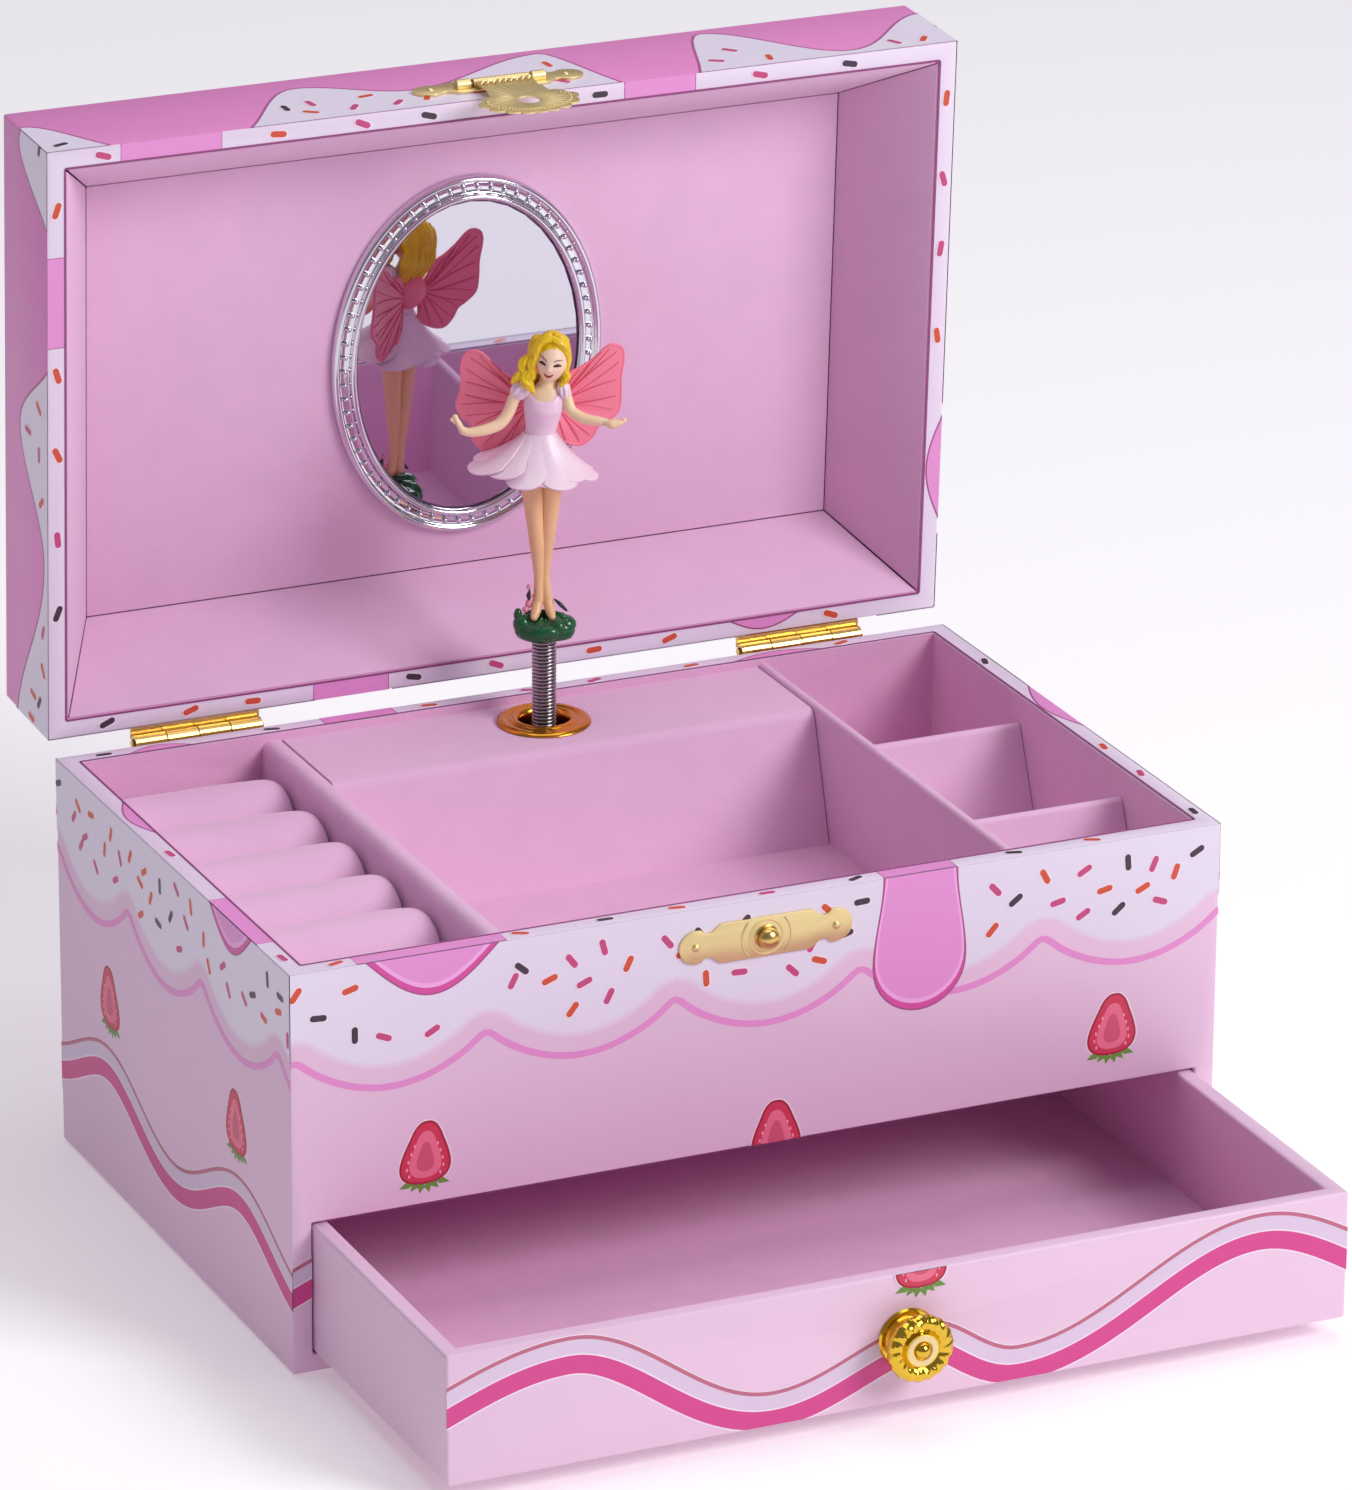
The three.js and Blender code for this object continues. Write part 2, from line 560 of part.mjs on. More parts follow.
function buildMovementFrame(group) {
  const { x, y } = spindleAt;
  const left = combX - combFree - movement.combHeel;
  const right = fanX + 6;
  const upper = keyHeight + movement.housingRadius + gap;
  const plateTop = upper + movement.shelf;
  const fanShelf = cylinderTop + 0.6;
  const casting = join(
    block(left, right, frameFront, frameFront + movement.plate, footZ, plateTop),
    block(left, right, y - 5, frameFront + 1, footZ, footZ + movement.shelf),
    block(x - 5, x + 5, y - 4, frameFront + 1, upper, plateTop),
    block(fanX - 2.4, fanX + 2.4, y - 2.4, frameFront + 1, fanShelf - 2, fanShelf),
    block(left, combX - combFree, y + 1 + gap, frameFront + 1, cylinderBottom, cylinderTop));
  const bores = [
    post(x, y, footZ + 0.6, footZ + 4, spindle.radius * 0.6 + gap, spindle.radius * 0.6 + gap, 12),
    post(x, y, upper - 1, plateTop + 1, spindle.radius + gap, spindle.radius + gap, 16),
    post(fanX, y, footZ + 0.6, footZ + 4, movement.fanRod + gap, movement.fanRod + gap, 10),
    post(fanX, y, fanShelf - 3, fanShelf + 1, movement.fanRod + gap, movement.fanRod + gap, 10),
    barY(x, keyHeight, frameFront - 1, frameFront + 9, movement.arbor + gap, 16),
  ];
  piece(group, 'movement_frame', cut(casting, ...bores), zinc);
}

function buildSpringHousing(group) {
  const { x, z } = axisY;
  const r = movement.housingRadius;
  const front = crownBack + 0.6;
  const back = frameFront - gap;
  const cup = cut(
    barY(x, z, front, back, r, 28),
    barY(x, z, front + 0.9, back + 1, r - 0.8, 28),
    barY(x, z, front - 1, back, movement.arbor + gap, 16));
  piece(group, 'spring_housing', cup, brass);

  // The mainspring is a flat strip wound in a spiral round the arbor.
  const inner = movement.arbor + 0.9;
  const outer = r - 1.6;
  const perTurn = 14;
  const steps = movement.springTurns * perTurn;
  const edge = (offset) => Array.from({ length: steps + 1 }, (_, i) => {
    const angle = (i / perTurn) * 2 * Math.PI;
    const radius = inner + (outer - inner) * (i / steps) + offset;
    return [x + radius * Math.cos(angle), z + radius * Math.sin(angle)];
  });
  const strip = slab([...edge(0.4), ...edge(0).reverse()], 'front', front + 1.3, back - front - 1.8);
  piece(group, 'mainspring', strip, steel);
}

function buildComb(group) {
  const { y } = spindleAt;
  const z0 = cylinderBottom + 0.4;
  const pitch = (cylinderTop - cylinderBottom - 0.8) / movement.combTeeth;
  const teeth = Array.from({ length: movement.combTeeth }, (_, i) =>
    block(combX - combFree, combX, y - 0.3, y + 0.3, z0 + i * pitch, z0 + i * pitch + pitch * 0.62));
  const heelX = combX - combFree - movement.combHeel / 2 + 0.5;
  const heel = block(heelX - movement.combHeel / 2, heelX + movement.combHeel / 2,
    y - 1, y + 1, z0 - 0.3, cylinderTop - 0.4);
  const screws = [0.25, 0.75].map((u) => barY(heelX, z0 + u * (cylinderTop - z0), y - 2.2, y, 1.5, 10));
  piece(group, 'comb', join(heel, ...teeth, ...screws), steel);
}

function buildKeyShaft(group) {
  const { x, z } = axisY;
  const keyFront = halfDepth + key.standOff;
  const keyEnd = keyFront + key.length;
  piece(group, 'winding_arbor', barY(x, z, crownDisc + gap, keyEnd - 8, movement.arbor, 16), steel);

  piece(group, 'crown_wheel', toothedCrown(), brass);

  const bow = new THREE.Shape();
  const arms = key.bow;
  bow.moveTo(x - 2.2, keyFront + 4);
  bow.bezierCurveTo(x - 6, keyFront + 4, x - arms, keyFront + 5, x - arms, keyFront + 11);
  bow.bezierCurveTo(x - arms, keyFront + 17, x - 4, keyEnd, x, keyEnd - 2.4);
  bow.bezierCurveTo(x + 4, keyEnd, x + arms, keyFront + 17, x + arms, keyFront + 11);
  bow.bezierCurveTo(x + arms, keyFront + 5, x + 6, keyFront + 4, x + 2.2, keyFront + 4);
  const wings = slab(bow, 'flat', z - key.thickness / 2, key.thickness);
  const hub = barY(x, z, keyFront, keyEnd - 6, key.hub, 18);
  const bore = barY(x, z, keyFront - 1, keyEnd - 8 + gap, movement.arbor + gap, 16);
  piece(group, 'winding_key', cut(join(wings, hub), bore), brass);
}

// The crown wheel's teeth stand forward of its disc, and turn the pinion at its top.
function toothedCrown() {
  const { x, z } = axisY;
  const r = movement.crownRadius;
  const half = movement.crownFace / 2;
  let wheel = solid(barY(x, z, crownDisc, crownBack, r + half, 36));
  wheel = wheel.subtract(solid(barY(x, z, crownDisc + gap, crownBack + 1, movement.arbor + gap, 16)));
  for (let i = 0; i < movement.crownTeeth; i += 1) {
    const angle = ((i + 0.5) * 2 * Math.PI) / movement.crownTeeth;
    const tooth = block(-movement.toothWidth / 2, movement.toothWidth / 2, crownTip, crownDisc + 0.3,
      r - half + 0.2, r + half - 0.2).rotateY(angle).translate(x, 0, z);
    wheel = wheel.add(solid(tooth));
  }
  return wheel;
}

function buildSpindle(group) {
  const { x, y } = spindleAt;
  const r = spindle.radius;
  const pitchRadius = crownPitchY - spindleAt.y;
  const shaftTop = platformTop - spindle.below;
  const seatTop = platformTop - spring.below - gap;
  const shaft = join(
    post(x, y, footZ + 0.9, footZ + movement.shelf + gap, r * 0.6, r * 0.6, 12),
    post(x, y, footZ + movement.shelf + gap / 2, shaftTop, r, r, 16),
    post(x, y, seatTop - 0.5, seatTop, spring.radius, spring.radius, 16),
    toothedDisc(pitchRadius, movement.pinionTeeth, movement.toothWidth,
      pinionZ - pinionHalf, pinionZ + pinionHalf, 0.75).translate(x, y, 0));
  piece(group, 'dancer_spindle', shaft, steel);

  // The cylinder is a sleeve on the spindle, studded with pins, with its wheel below it.
  const cr = movement.cylinderRadius;
  const z0 = cylinderBottom;
  const z1 = cylinderTop;
  const wheel = toothedDisc(movement.wheelRadius, movement.wheelTeeth, movement.fineTooth,
    z0 - 1.6, z0 - 0.4, 0.45, Math.PI / movement.wheelTeeth).translate(x, y, 0);
  const pitch = (z1 - z0 - 0.8) / movement.combTeeth;
  let drum = join(post(x, y, z0 - 0.5, z1 - 0.3, cr, cr, 28), wheel);
  for (let i = 0; i < movement.combTeeth; i += 1) {
    for (const note of [0, 1]) {
      const angle = (i * 137.5 + note * 190) * Math.PI / 180;
      const height = z0 + 0.4 + (i + 0.31) * pitch;
      drum = drum.add(solid(block(cr - 0.5, cr + movement.pinLength, -0.2, 0.2, height - 0.2, height + 0.2)
        .rotateZ(angle).translate(x, y, 0)));
    }
  }
  drum = drum.subtract(solid(post(x, y, z0 - 3, z1 + 1, r + gap, r + gap, 16)));
  piece(group, 'music_cylinder', drum, brass);
}

function buildGovernor(group) {
  const { y } = spindleAt;
  const pinionRadius = movement.wheelRadius * movement.fanTeeth / movement.wheelTeeth;
  const z0 = cylinderBottom;
  const top = cylinderTop + 0.3;
  const rod = post(fanX, y, footZ + 0.9, top, movement.fanRod, movement.fanRod, 10);
  const pinion = toothedDisc(pinionRadius, movement.fanTeeth, movement.fineTooth,
    z0 - 1.8, z0 - 0.2, 0.45, Math.PI).translate(fanX, y, 0);
  const blades = block(fanX - 2.5, fanX + 2.5, y - 0.25, y + 0.25, z0 + 4, z0 + 12);
  piece(group, 'governor_fan', join(rod, pinion, blades), brass);
}

// ---------------------------------------------------------------- dancer

function buildSpring(group) {
  const { x, y } = spindleAt;
  const inner = spring.radius - spring.wire;
  const z0 = platformTop - spring.below;
  const z1 = springTop;
  const rim = spring.radius + collar.rim;
  piece(group, 'dancer_spring', turned([
    [inner, z0], [spring.radius, z0], [spring.radius, z1], [inner, z1], [inner, z0],
  ], 16).translate(x, y, 0), steel);
  piece(group, 'spring_collar', turned([
    [0, z1 - collar.inside], [inner - gap, z1 - collar.inside], [inner - gap, z1 + 0.2],
    [rim, z1 + 0.2], [rim, z1 + collar.flange], [0, z1 + collar.flange],
  ], 16).translate(x, y, 0), whitePlastic);
}

// Her own frame: feet at the origin's height 0 on the underside of the base, facing -Y.
function figureShape() {
  const d = dancer;
  const hip = d.waistHeight - 3.4;
  const legs = [-1, 1].map((side) =>
    limb([side * 0.9, side * 0.55, d.baseHeight - 1], [side * 2.1, 0, hip], 1.5, 3, 8));
  const parts = [
    post(0, 0, 0, d.baseHeight, d.base * 0.9, d.base, 14),
    ...legs,
    post(0, 0, d.hemHeight, d.waistHeight, d.hem, 3.6, 16),
    post(0, 0, d.waistHeight - 1, d.shoulderHeight, 3.5, 4.8, 10),
    post(0, 0, d.shoulderHeight - 0.5, d.headHeight, 2, 1.9, 8),
    ball(0, -0.3, d.headHeight, d.headRadius, 12),
    ball(-1.6, 1.6, d.headHeight - 1, d.headRadius + 0.4, 10),
  ];
  for (const side of [-1, 1]) {
    const elbow = [side * 12.5, 0.6, d.handHeight - 1.6];
    parts.push(limb([side * 4, 0, d.shoulderHeight - 1.4], elbow, 1.6, 1.3, 8));
    parts.push(ball(...elbow, 1.4, 8));
    parts.push(limb(elbow, [side * d.handReach, -2, d.handHeight + 1], 1.3, 0.9, 8));
  }
  return join(...parts);
}

// Two upper and two lower lobes, with round tips, in one thin sheet behind her back.
function wingOutline() {
  const r = dancer.wingReach;
  const z = dancer.shoulderHeight;
  const right = [
    [1.6, z - 1], [6, z + 4], [11, z + 10], [16, z + 13.6], [r * 0.92, z + 12], [r, z + 7],
    [r * 0.96, z], [r * 0.86, z - 5], [r * 0.8, z - 9], [r * 0.62, z - 13.4],
    [9, z - 12], [4, z - 9.6], [1.6, z - 7],
  ];
  const left = [...right].reverse().map(([a, b]) => [-a, b]);
  return [...right, ...left];
}

function buildDancer(group) {
  const figure = new THREE.Group();
  figure.position.set(spindleAt.x, spindleAt.y, dancerFoot);
  figure.rotation.z = dancer.turn * Math.PI / 180;
  group.add(figure);
  const back = dancer.wingsBehind;
  const room = block(-dancer.wingReach, dancer.wingReach, back - gap, back + 10,
    dancer.shoulderHeight - 20, dancer.headHeight + 10);
  piece(figure, 'dancer_figure', cut(figureShape(), room), paintedFigure);
  piece(figure, 'dancer_wings', slab(wingOutline(), 'front', back, dancer.wingThickness), wingPlastic);
}

// ---------------------------------------------------------------- assembly

buildCase(model);
buildTray(model);
buildPlatform(model);
buildHingesOnCase(model);
buildCatch(model);
buildDrawer(model);
buildMovementFrame(model);
buildSpringHousing(model);
buildComb(model);
buildKeyShaft(model);
buildSpindle(model);
buildGovernor(model);
buildSpring(model);
buildDancer(model);

// The lid and its hasp turn together about the hinge axis.
const lidGroup = new THREE.Group();
lidGroup.position.set(0, hingeY, hingeZ);
lidGroup.rotation.x = -lid.openAngle * Math.PI / 180;
const lidPieces = new THREE.Group();
lidPieces.position.set(0, -hingeY, -hingeZ);
lidGroup.add(lidPieces);
model.add(lidGroup);
buildLid(lidPieces);
buildHaspPlate(lidPieces);
buildHasp(lidPieces);

export default model;
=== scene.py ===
"""Ballerina jewellery box: the looks of a paper-covered music box with a mirrored lid, a lined tray,
an open drawer and a winged dancer on a spring. Shapes are worked out in millimetres, in the CAD
frame, and scaled to metres as each mesh is made. The lid's pieces are built shut and then opened."""
import json
import math

import bmesh
import bpy
import numpy as np
from mathutils import Matrix, Vector


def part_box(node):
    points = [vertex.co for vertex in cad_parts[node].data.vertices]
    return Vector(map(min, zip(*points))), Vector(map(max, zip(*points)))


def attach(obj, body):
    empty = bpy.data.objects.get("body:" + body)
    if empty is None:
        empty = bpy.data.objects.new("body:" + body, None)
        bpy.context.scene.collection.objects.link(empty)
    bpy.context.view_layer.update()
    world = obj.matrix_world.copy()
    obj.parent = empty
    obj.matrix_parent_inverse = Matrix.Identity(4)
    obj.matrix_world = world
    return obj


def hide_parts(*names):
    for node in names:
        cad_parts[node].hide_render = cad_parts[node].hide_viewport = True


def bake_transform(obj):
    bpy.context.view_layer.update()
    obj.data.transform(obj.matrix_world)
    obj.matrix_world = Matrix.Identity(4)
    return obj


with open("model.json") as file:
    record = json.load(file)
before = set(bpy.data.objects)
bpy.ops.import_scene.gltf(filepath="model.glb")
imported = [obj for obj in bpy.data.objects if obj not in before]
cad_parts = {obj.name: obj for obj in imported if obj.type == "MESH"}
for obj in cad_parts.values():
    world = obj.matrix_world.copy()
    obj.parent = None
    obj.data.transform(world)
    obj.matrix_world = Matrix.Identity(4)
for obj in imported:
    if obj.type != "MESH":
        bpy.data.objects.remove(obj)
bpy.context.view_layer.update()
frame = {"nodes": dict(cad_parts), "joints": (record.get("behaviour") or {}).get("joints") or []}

MM = 0.001

# ------------------------------------------------------------------ places, from the CAD frame


def box_mm(node):
    low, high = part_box(node)
    return low / MM, high / MM


def centre_mm(node):
    low, high = box_mm(node)
    return (low + high) / 2


side_low, side_high = box_mm("case_left_side")
front_low, front_high = box_mm("case_front")
HALF_X, HALF_Y, TOP = -side_low.x, -side_low.y, side_high.z
IN_X, IN_Y = front_high.x, -front_high.y
BAY_TOP = front_low.z
BASE_TOP = box_mm("case_base")[1].z
DRAWER_LOW, DRAWER_HIGH = box_mm("drawer_front")
DRAWER_BACK = box_mm("drawer_back")
DRAWER_BOARD = DRAWER_HIGH.y - DRAWER_LOW.y
PLATFORM_LOW, PLATFORM_TOP = box_mm("platform_top")
SPINDLE = centre_mm("dancer_spring")
CATCH = centre_mm("catch_plate")

joints = {joint["name"]: joint for joint in frame["joints"]}
HINGE = Vector(joints["lid_hinge"]["pos_m"]) / MM
OPEN = math.radians(joints["lid_hinge"]["range_deg"][1])
LID = Matrix.Translation(HINGE) @ Matrix.Rotation(-OPEN, 4, "X") @ Matrix.Translation(-HINGE)
SHUT = LID.inverted()


def shut_box(node):
    """The box of one of the lid's CAD nodes with the lid shut."""
    points = [SHUT @ (vertex.co / MM) for vertex in frame["nodes"][node].data.vertices]
    low = Vector([min(p[i] for p in points) for i in range(3)])
    high = Vector([max(p[i] for p in points) for i in range(3)])
    return low, high


LID_BOTTOM, LID_TOP = shut_box("lid_left_wall")[0].z, shut_box("lid_top")[1].z
LINING_LOW, LINING_HIGH = shut_box("lid_lining")
BEZEL_HIGH = shut_box("mirror_bezel")[1]
HASP_LOW, HASP_HIGH = shut_box("hasp")
HASP_PIN = (shut_box("hasp_pin")[0] + shut_box("hasp_pin")[1]) / 2

DANCER_TURN = math.radians(-24.5)
FOOT = box_mm("dancer_figure")[0].z
DANCER_SCALE, BASE_DROP = 1.068, 2.3
DANCER = (Matrix.Translation((SPINDLE.x, SPINDLE.y, FOOT - BASE_DROP)) @ Matrix.Rotation(DANCER_TURN, 4,
                                                                                         "Z")
          @ Matrix.Scale(DANCER_SCALE, 4))
COLLAR_LOW, COLLAR_HIGH = box_mm("spring_collar")

# ------------------------------------------------------------------ camera, light and floor


def make_camera():
    """A long lens from the front left and a little above."""
    data = bpy.data.cameras.new("camera")
    data.sensor_width = 36
    data.lens = 210.57
    data.clip_end = 20
    camera = bpy.data.objects.new("camera", data)
    bpy.context.scene.collection.objects.link(camera)
    forward = Vector((0.38756, 0.85047, -0.35566)).normalized()
    right = Vector((0.91086, -0.41267, 0.00578)).normalized()
    up = right.cross(forward)
    turn = Matrix((right, up, -forward)).transposed()
    camera.matrix_world = Matrix.Translation((-0.8370, -1.8625, 0.8939)) @ turn.to_4x4()
    bpy.context.scene.camera = camera


def make_area_light(name, place, target, size, power, colour=(1, 1, 1)):
    data = bpy.data.lights.new(name, "AREA")
    data.shape = "RECTANGLE"
    data.size, data.size_y = size
    data.energy = power
    data.color = colour
    light = bpy.data.objects.new(name, data)
    light.location = place
    light.rotation_euler = (Vector(target) - Vector(place)).to_track_quat("-Z", "Y").to_euler()
    bpy.context.scene.collection.objects.link(light)


def make_studio():
    scene = bpy.context.scene
    scene.view_settings.view_transform = "Standard"
    world = bpy.data.worlds.new("studio")
    world.use_nodes = True
    world.node_tree.nodes["Background"].inputs["Color"].default_value = (0.9, 0.84, 1, 1)
    world.node_tree.nodes["Background"].inputs["Strength"].default_value = 0.25
    scene.world = world
    middle = (0, 0, 0.12)
    make_area_light("key", (1.25, -1.65, 1.5), middle, (1.1, 1.1), 38)
    make_area_light("overhead", (0.1, 0.35, 2.1), middle, (1.8, 1.8), 16)
    floor = bpy.data.meshes.new("floor")
    reach = 30
    floor.from_pydata([(-reach, -reach, 0), (reach, -reach, 0), (reach, reach, 0), (-reach, reach, 0)],
                      [], [(0, 1, 2, 3)])
    plane = bpy.data.objects.new("floor", floor)
    plane.location.z = -0.0005
    scene.collection.objects.link(plane)
    white = surface("floor_white", (252, 251, 252), 0.8, mottle=0, grain=0, Emission_Color=(1, 1, 1, 1),
                    Emission_Strength=0.2)
    floor.materials.append(white)


# ------------------------------------------------------------------ materials


def linear(colour):
    """An sRGB colour of 0 to 255 as linear light."""
    scaled = [c / 255 for c in colour]
    return [c / 12.92 if c <= 0.04045 else ((c + 0.055) / 1.055) ** 2.4 for c in scaled]


def surface(name, colour, rough, metal=0.0, mottle=0.05, mottle_size=12, grain=0.1, grain_size=0.5,
            stretch=(1, 1, 1), wear=0.06, **inputs):
    """A Principled surface whose colour drifts over mottle_size mm, with a fine grain in its normal."""
    material = bpy.data.materials.new(name)
    material.use_nodes = True
    nodes, links = material.node_tree.nodes, material.node_tree.links
    shader = nodes["Principled BSDF"]
    base = linear(colour)
    shader.inputs["Base Color"].default_value = (*base, 1)
    shader.inputs["Roughness"].default_value = rough
    shader.inputs["Metallic"].default_value = metal
    for key, value in inputs.items():
        shader.inputs[key.replace("_", " ")].default_value = value
    coordinates = nodes.new("ShaderNodeTexCoord")
    mapping = nodes.new("ShaderNodeMapping")
    mapping.inputs["Scale"].default_value = stretch
    links.new(coordinates.outputs["Object"], mapping.inputs["Vector"])

    def noise(size_mm, detail):
        node = nodes.new("ShaderNodeTexNoise")
        node.inputs["Scale"].default_value = 1 / (size_mm * MM)
        node.inputs["Detail"].default_value = detail
        links.new(mapping.outputs["Vector"], node.inputs["Vector"])
        return node.outputs["Fac"]

    if mottle:
        drift = noise(mottle_size, 3)
        mix = nodes.new("ShaderNodeMix")
        mix.data_type = "RGBA"
        mix.inputs[6].default_value = (*[c * (1 - mottle) for c in base], 1)
        mix.inputs[7].default_value = (*[min(1, c * (1 + mottle)) for c in base], 1)
        links.new(drift, mix.inputs[0])
        links.new(mix.outputs[2], shader.inputs["Base Color"])
        spread = nodes.new("ShaderNodeMapRange")
        spread.inputs["To Min"].default_value = max(0.02, rough - wear)
        spread.inputs["To Max"].default_value = min(1, rough + wear)
        links.new(drift, spread.inputs["Value"])
        links.new(spread.outputs["Result"], shader.inputs["Roughness"])
    if grain:
        bump = nodes.new("ShaderNodeBump")
        bump.inputs["Strength"].default_value = grain
        bump.inputs["Distance"].default_value = grain_size * MM * 0.3
        links.new(noise(grain_size, 2), bump.inputs["Height"])
        links.new(bump.outputs["Normal"], shader.inputs["Normal"])
    return material


VELVET_SHEEN = {"Sheen_Weight": 0.35, "Sheen_Roughness": 0.5}
paper = surface("printed_paper", (234, 197, 223), 0.42, mottle=0.015, grain=0.12, grain_size=0.35)
lid_paper = surface("lid_paper", (232, 140, 203), 0.42, mottle=0.02, grain=0.25, grain_size=0.9)
# one lining velvet in three copies: the wall and floor copies are painted a little darker, as painted shade
# inside the well, the bay and the drawer
shaded_wall_velvet = surface("shaded_wall_velvet", (233, 178, 214), 0.95, mottle=0.05, grain=0.5, **VELVET_SHEEN)
velvet = surface("velvet", (232, 187, 219), 0.95, mottle=0.05, grain=0.5, **VELVET_SHEEN)
shaded_floor_velvet = surface("shaded_floor_velvet", (230, 176, 212), 0.95, mottle=0.07, mottle_size=8, grain=0.6,
                       **VELVET_SHEEN)
# painted shade: the dark line in the fold where the lining meets the rims of the case and the lid
fold_shadow = surface("painted_fold_shade", (150, 78, 130), 0.8, mottle=0.05)
gold = surface("gold", (222, 190, 116), 0.26, 1, mottle=0.05, mottle_size=6, grain=0.05)
orange_gold = surface("orange_gold", (224, 158, 56), 0.2, 1, mottle=0.06, mottle_size=6, grain=0.04)
yellow_gold = surface("yellow_gold", (226, 188, 62), 0.14, 1, mottle=0.05, mottle_size=3, grain=0.05)
pale_gold = surface("pale_gold", (240, 218, 160), 0.46, 1, mottle=0.04, mottle_size=5, grain=0.15,
                    grain_size=0.3)
chrome = surface("chrome", (216, 214, 222), 0.1, 1, mottle=0.03, mottle_size=5, grain=0)
silvering = surface("silvering", (206, 202, 214), 0.015, 1, mottle=0.006, mottle_size=30, grain=0,
                    wear=0.005)
steel = surface("steel", (178, 172, 176), 0.2, 1, mottle=0.05, mottle_size=2, grain=0.05)
brass = surface("brass", (206, 170, 96), 0.32, 1, mottle=0.08, mottle_size=3, grain=0.12, grain_size=0.3)
zinc = surface("zinc", (158, 160, 165), 0.5, 0.9, mottle=0.08, mottle_size=4, grain=0.3)
white_plastic = surface("white_plastic", (238, 230, 236), 0.4, mottle=0.03, mottle_size=3)

# ------------------------------------------------------------------ mesh helpers


def add(name, vertices, faces, materials, place=None, sharp=35, indices=None):
    """A mesh object from vertices in millimetres, with its edges sharp above an angle."""
    points = [Vector(v) for v in vertices]
    if place is not None:
        points = [place @ p for p in points]
    data = bpy.data.meshes.new(name)
    data.from_pydata([p * MM for p in points], [], [list(face) for face in faces])
    for material in materials:
        data.materials.append(material)
    if indices is not None:
        data.polygons.foreach_set("material_index", indices)
    work = bmesh.new()
    work.from_mesh(data)
    if indices is None:
        bmesh.ops.remove_doubles(work, verts=work.verts, dist=1e-7)
        bmesh.ops.recalc_face_normals(work, faces=work.faces)
    work.to_mesh(data)
    work.free()
    shade(data, sharp)
    obj = bpy.data.objects.new(name, data)
    bpy.context.scene.collection.objects.link(obj)
    return obj


def shade(data, sharp):
    data.shade_smooth()
    data.set_sharp_from_angle(angle=math.radians(sharp))


def settle(obj, sharp=35):
    """Applies an object's modifiers to its mesh."""
    graph = bpy.context.evaluated_depsgraph_get()
    data = bpy.data.meshes.new_from_object(obj.evaluated_get(graph))
    obj.modifiers.clear()
    obj.data = data
    shade(data, sharp)
    return obj


def bevel(obj, width, segments=2, angle=40):
    modifier = obj.modifiers.new("bevel", "BEVEL")
    modifier.width = width * MM
    modifier.segments = segments
    modifier.limit_method = "ANGLE"
    modifier.angle_limit = math.radians(angle)
    modifier.harden_normals = False
    return obj


def hollowed(obj, cutters):
    """Cuts helper objects out of an object and removes them."""
    for cutter in cutters:
        modifier = obj.modifiers.new("cut", "BOOLEAN")
        modifier.operation = "DIFFERENCE"
        modifier.solver = "EXACT"
        modifier.object = cutter
    settle(obj)
    for cutter in cutters:
        bpy.data.objects.remove(cutter)
    return obj


def block(name, low, high, material, place=None):
    (x0, y0, z0), (x1, y1, z1) = low, high
    vertices = [(x, y, z) for z in (z0, z1) for y in (y0, y1) for x in (x0, x1)]
    faces = [(0, 2, 3, 1), (4, 5, 7, 6), (0, 1, 5, 4), (2, 6, 7, 3), (0, 4, 6, 2), (1, 3, 7, 5)]
    return add(name, vertices, faces, [material], place)


def extruded(name, outline, spread, start, end, material, place=None, sharp=35):
    """A closed outline of [a, b] points extruded: spread turns (a, b, depth) into a point."""
    count = len(outline)
    vertices = [spread(a, b, start) for a, b in outline] + [spread(a, b, end) for a, b in outline]
    faces = [tuple(range(count)), tuple(range(2 * count - 1, count - 1, -1))]
    faces += [(i, (i + 1) % count, count + (i + 1) % count, count + i) for i in range(count)]
    return add(name, vertices, faces, [material], place, sharp)


def along_x(a, b, depth):
    return (depth, a, b)


def along_y(a, b, depth):
    return (a, depth, b)


def along_z(a, b, depth):
    return (a, b, depth)


def grid_faces(rows, columns, wrap_rows=False, wrap_columns=False):
    """Quads of a grid whose vertices are stored row by row."""
    faces = []
    for i in range(rows if wrap_rows else rows - 1):
        for j in range(columns if wrap_columns else columns - 1):
            k, m = (i + 1) % rows, (j + 1) % columns
            faces.append((i * columns + j, i * columns + m, k * columns + m, k * columns + j))
    return faces


def turned(name, profile, material, place=None, sides=48, shape=None, sharp=35):
    """A profile of [radius, height] points turned about Z; shape can bend each (angle, radius, height)."""
    closed = profile[0][0] > 0 or profile[-1][0] > 0
    vertices = []
    for i in range(sides):
        angle = 2 * math.pi * i / sides
        for radius, height in profile:
            turn, r, h = shape(angle, radius, height) if shape else (angle, radius, height)
            vertices.append((r * math.cos(turn), r * math.sin(turn), h))
    faces = grid_faces(sides, len(profile), True, closed)
    return add(name, vertices, faces, [material], place, sharp)


def tube(path, radii, sides=10, squash=1.0, up=(0, 0, 1)):
    """Vertices and faces of a closed round bar along a path, with its ends capped."""
    points = [Vector(p) for p in path]
    vertices, last = [], Vector(up)
    for i, point in enumerate(points):
        ahead = points[min(i + 1, len(points) - 1)] - points[max(i - 1, 0)]
        ahead.normalize()
        side = last.cross(ahead)
        side = side.normalized() if side.length > 1e-6 else ahead.orthogonal().normalized()
        last = ahead.cross(side)
        for j in range(sides):
            angle = 2 * math.pi * j / sides
            offset = side * math.cos(angle) + last * math.sin(angle) * squash
            vertices.append(point + offset * radii[i])
    faces = grid_faces(len(points), sides, False, True)
    faces += [tuple(range(sides - 1, -1, -1)), tuple(range(len(vertices) - sides, len(vertices)))]
    return vertices, faces


def merged(shapes):
    """One list of vertices and faces from several."""
    vertices, faces = [], []
    for some_vertices, some_faces in shapes:
        start = len(vertices)
        vertices += list(some_vertices)
        faces += [tuple(start + i for i in face) for face in some_faces]
    return vertices, faces


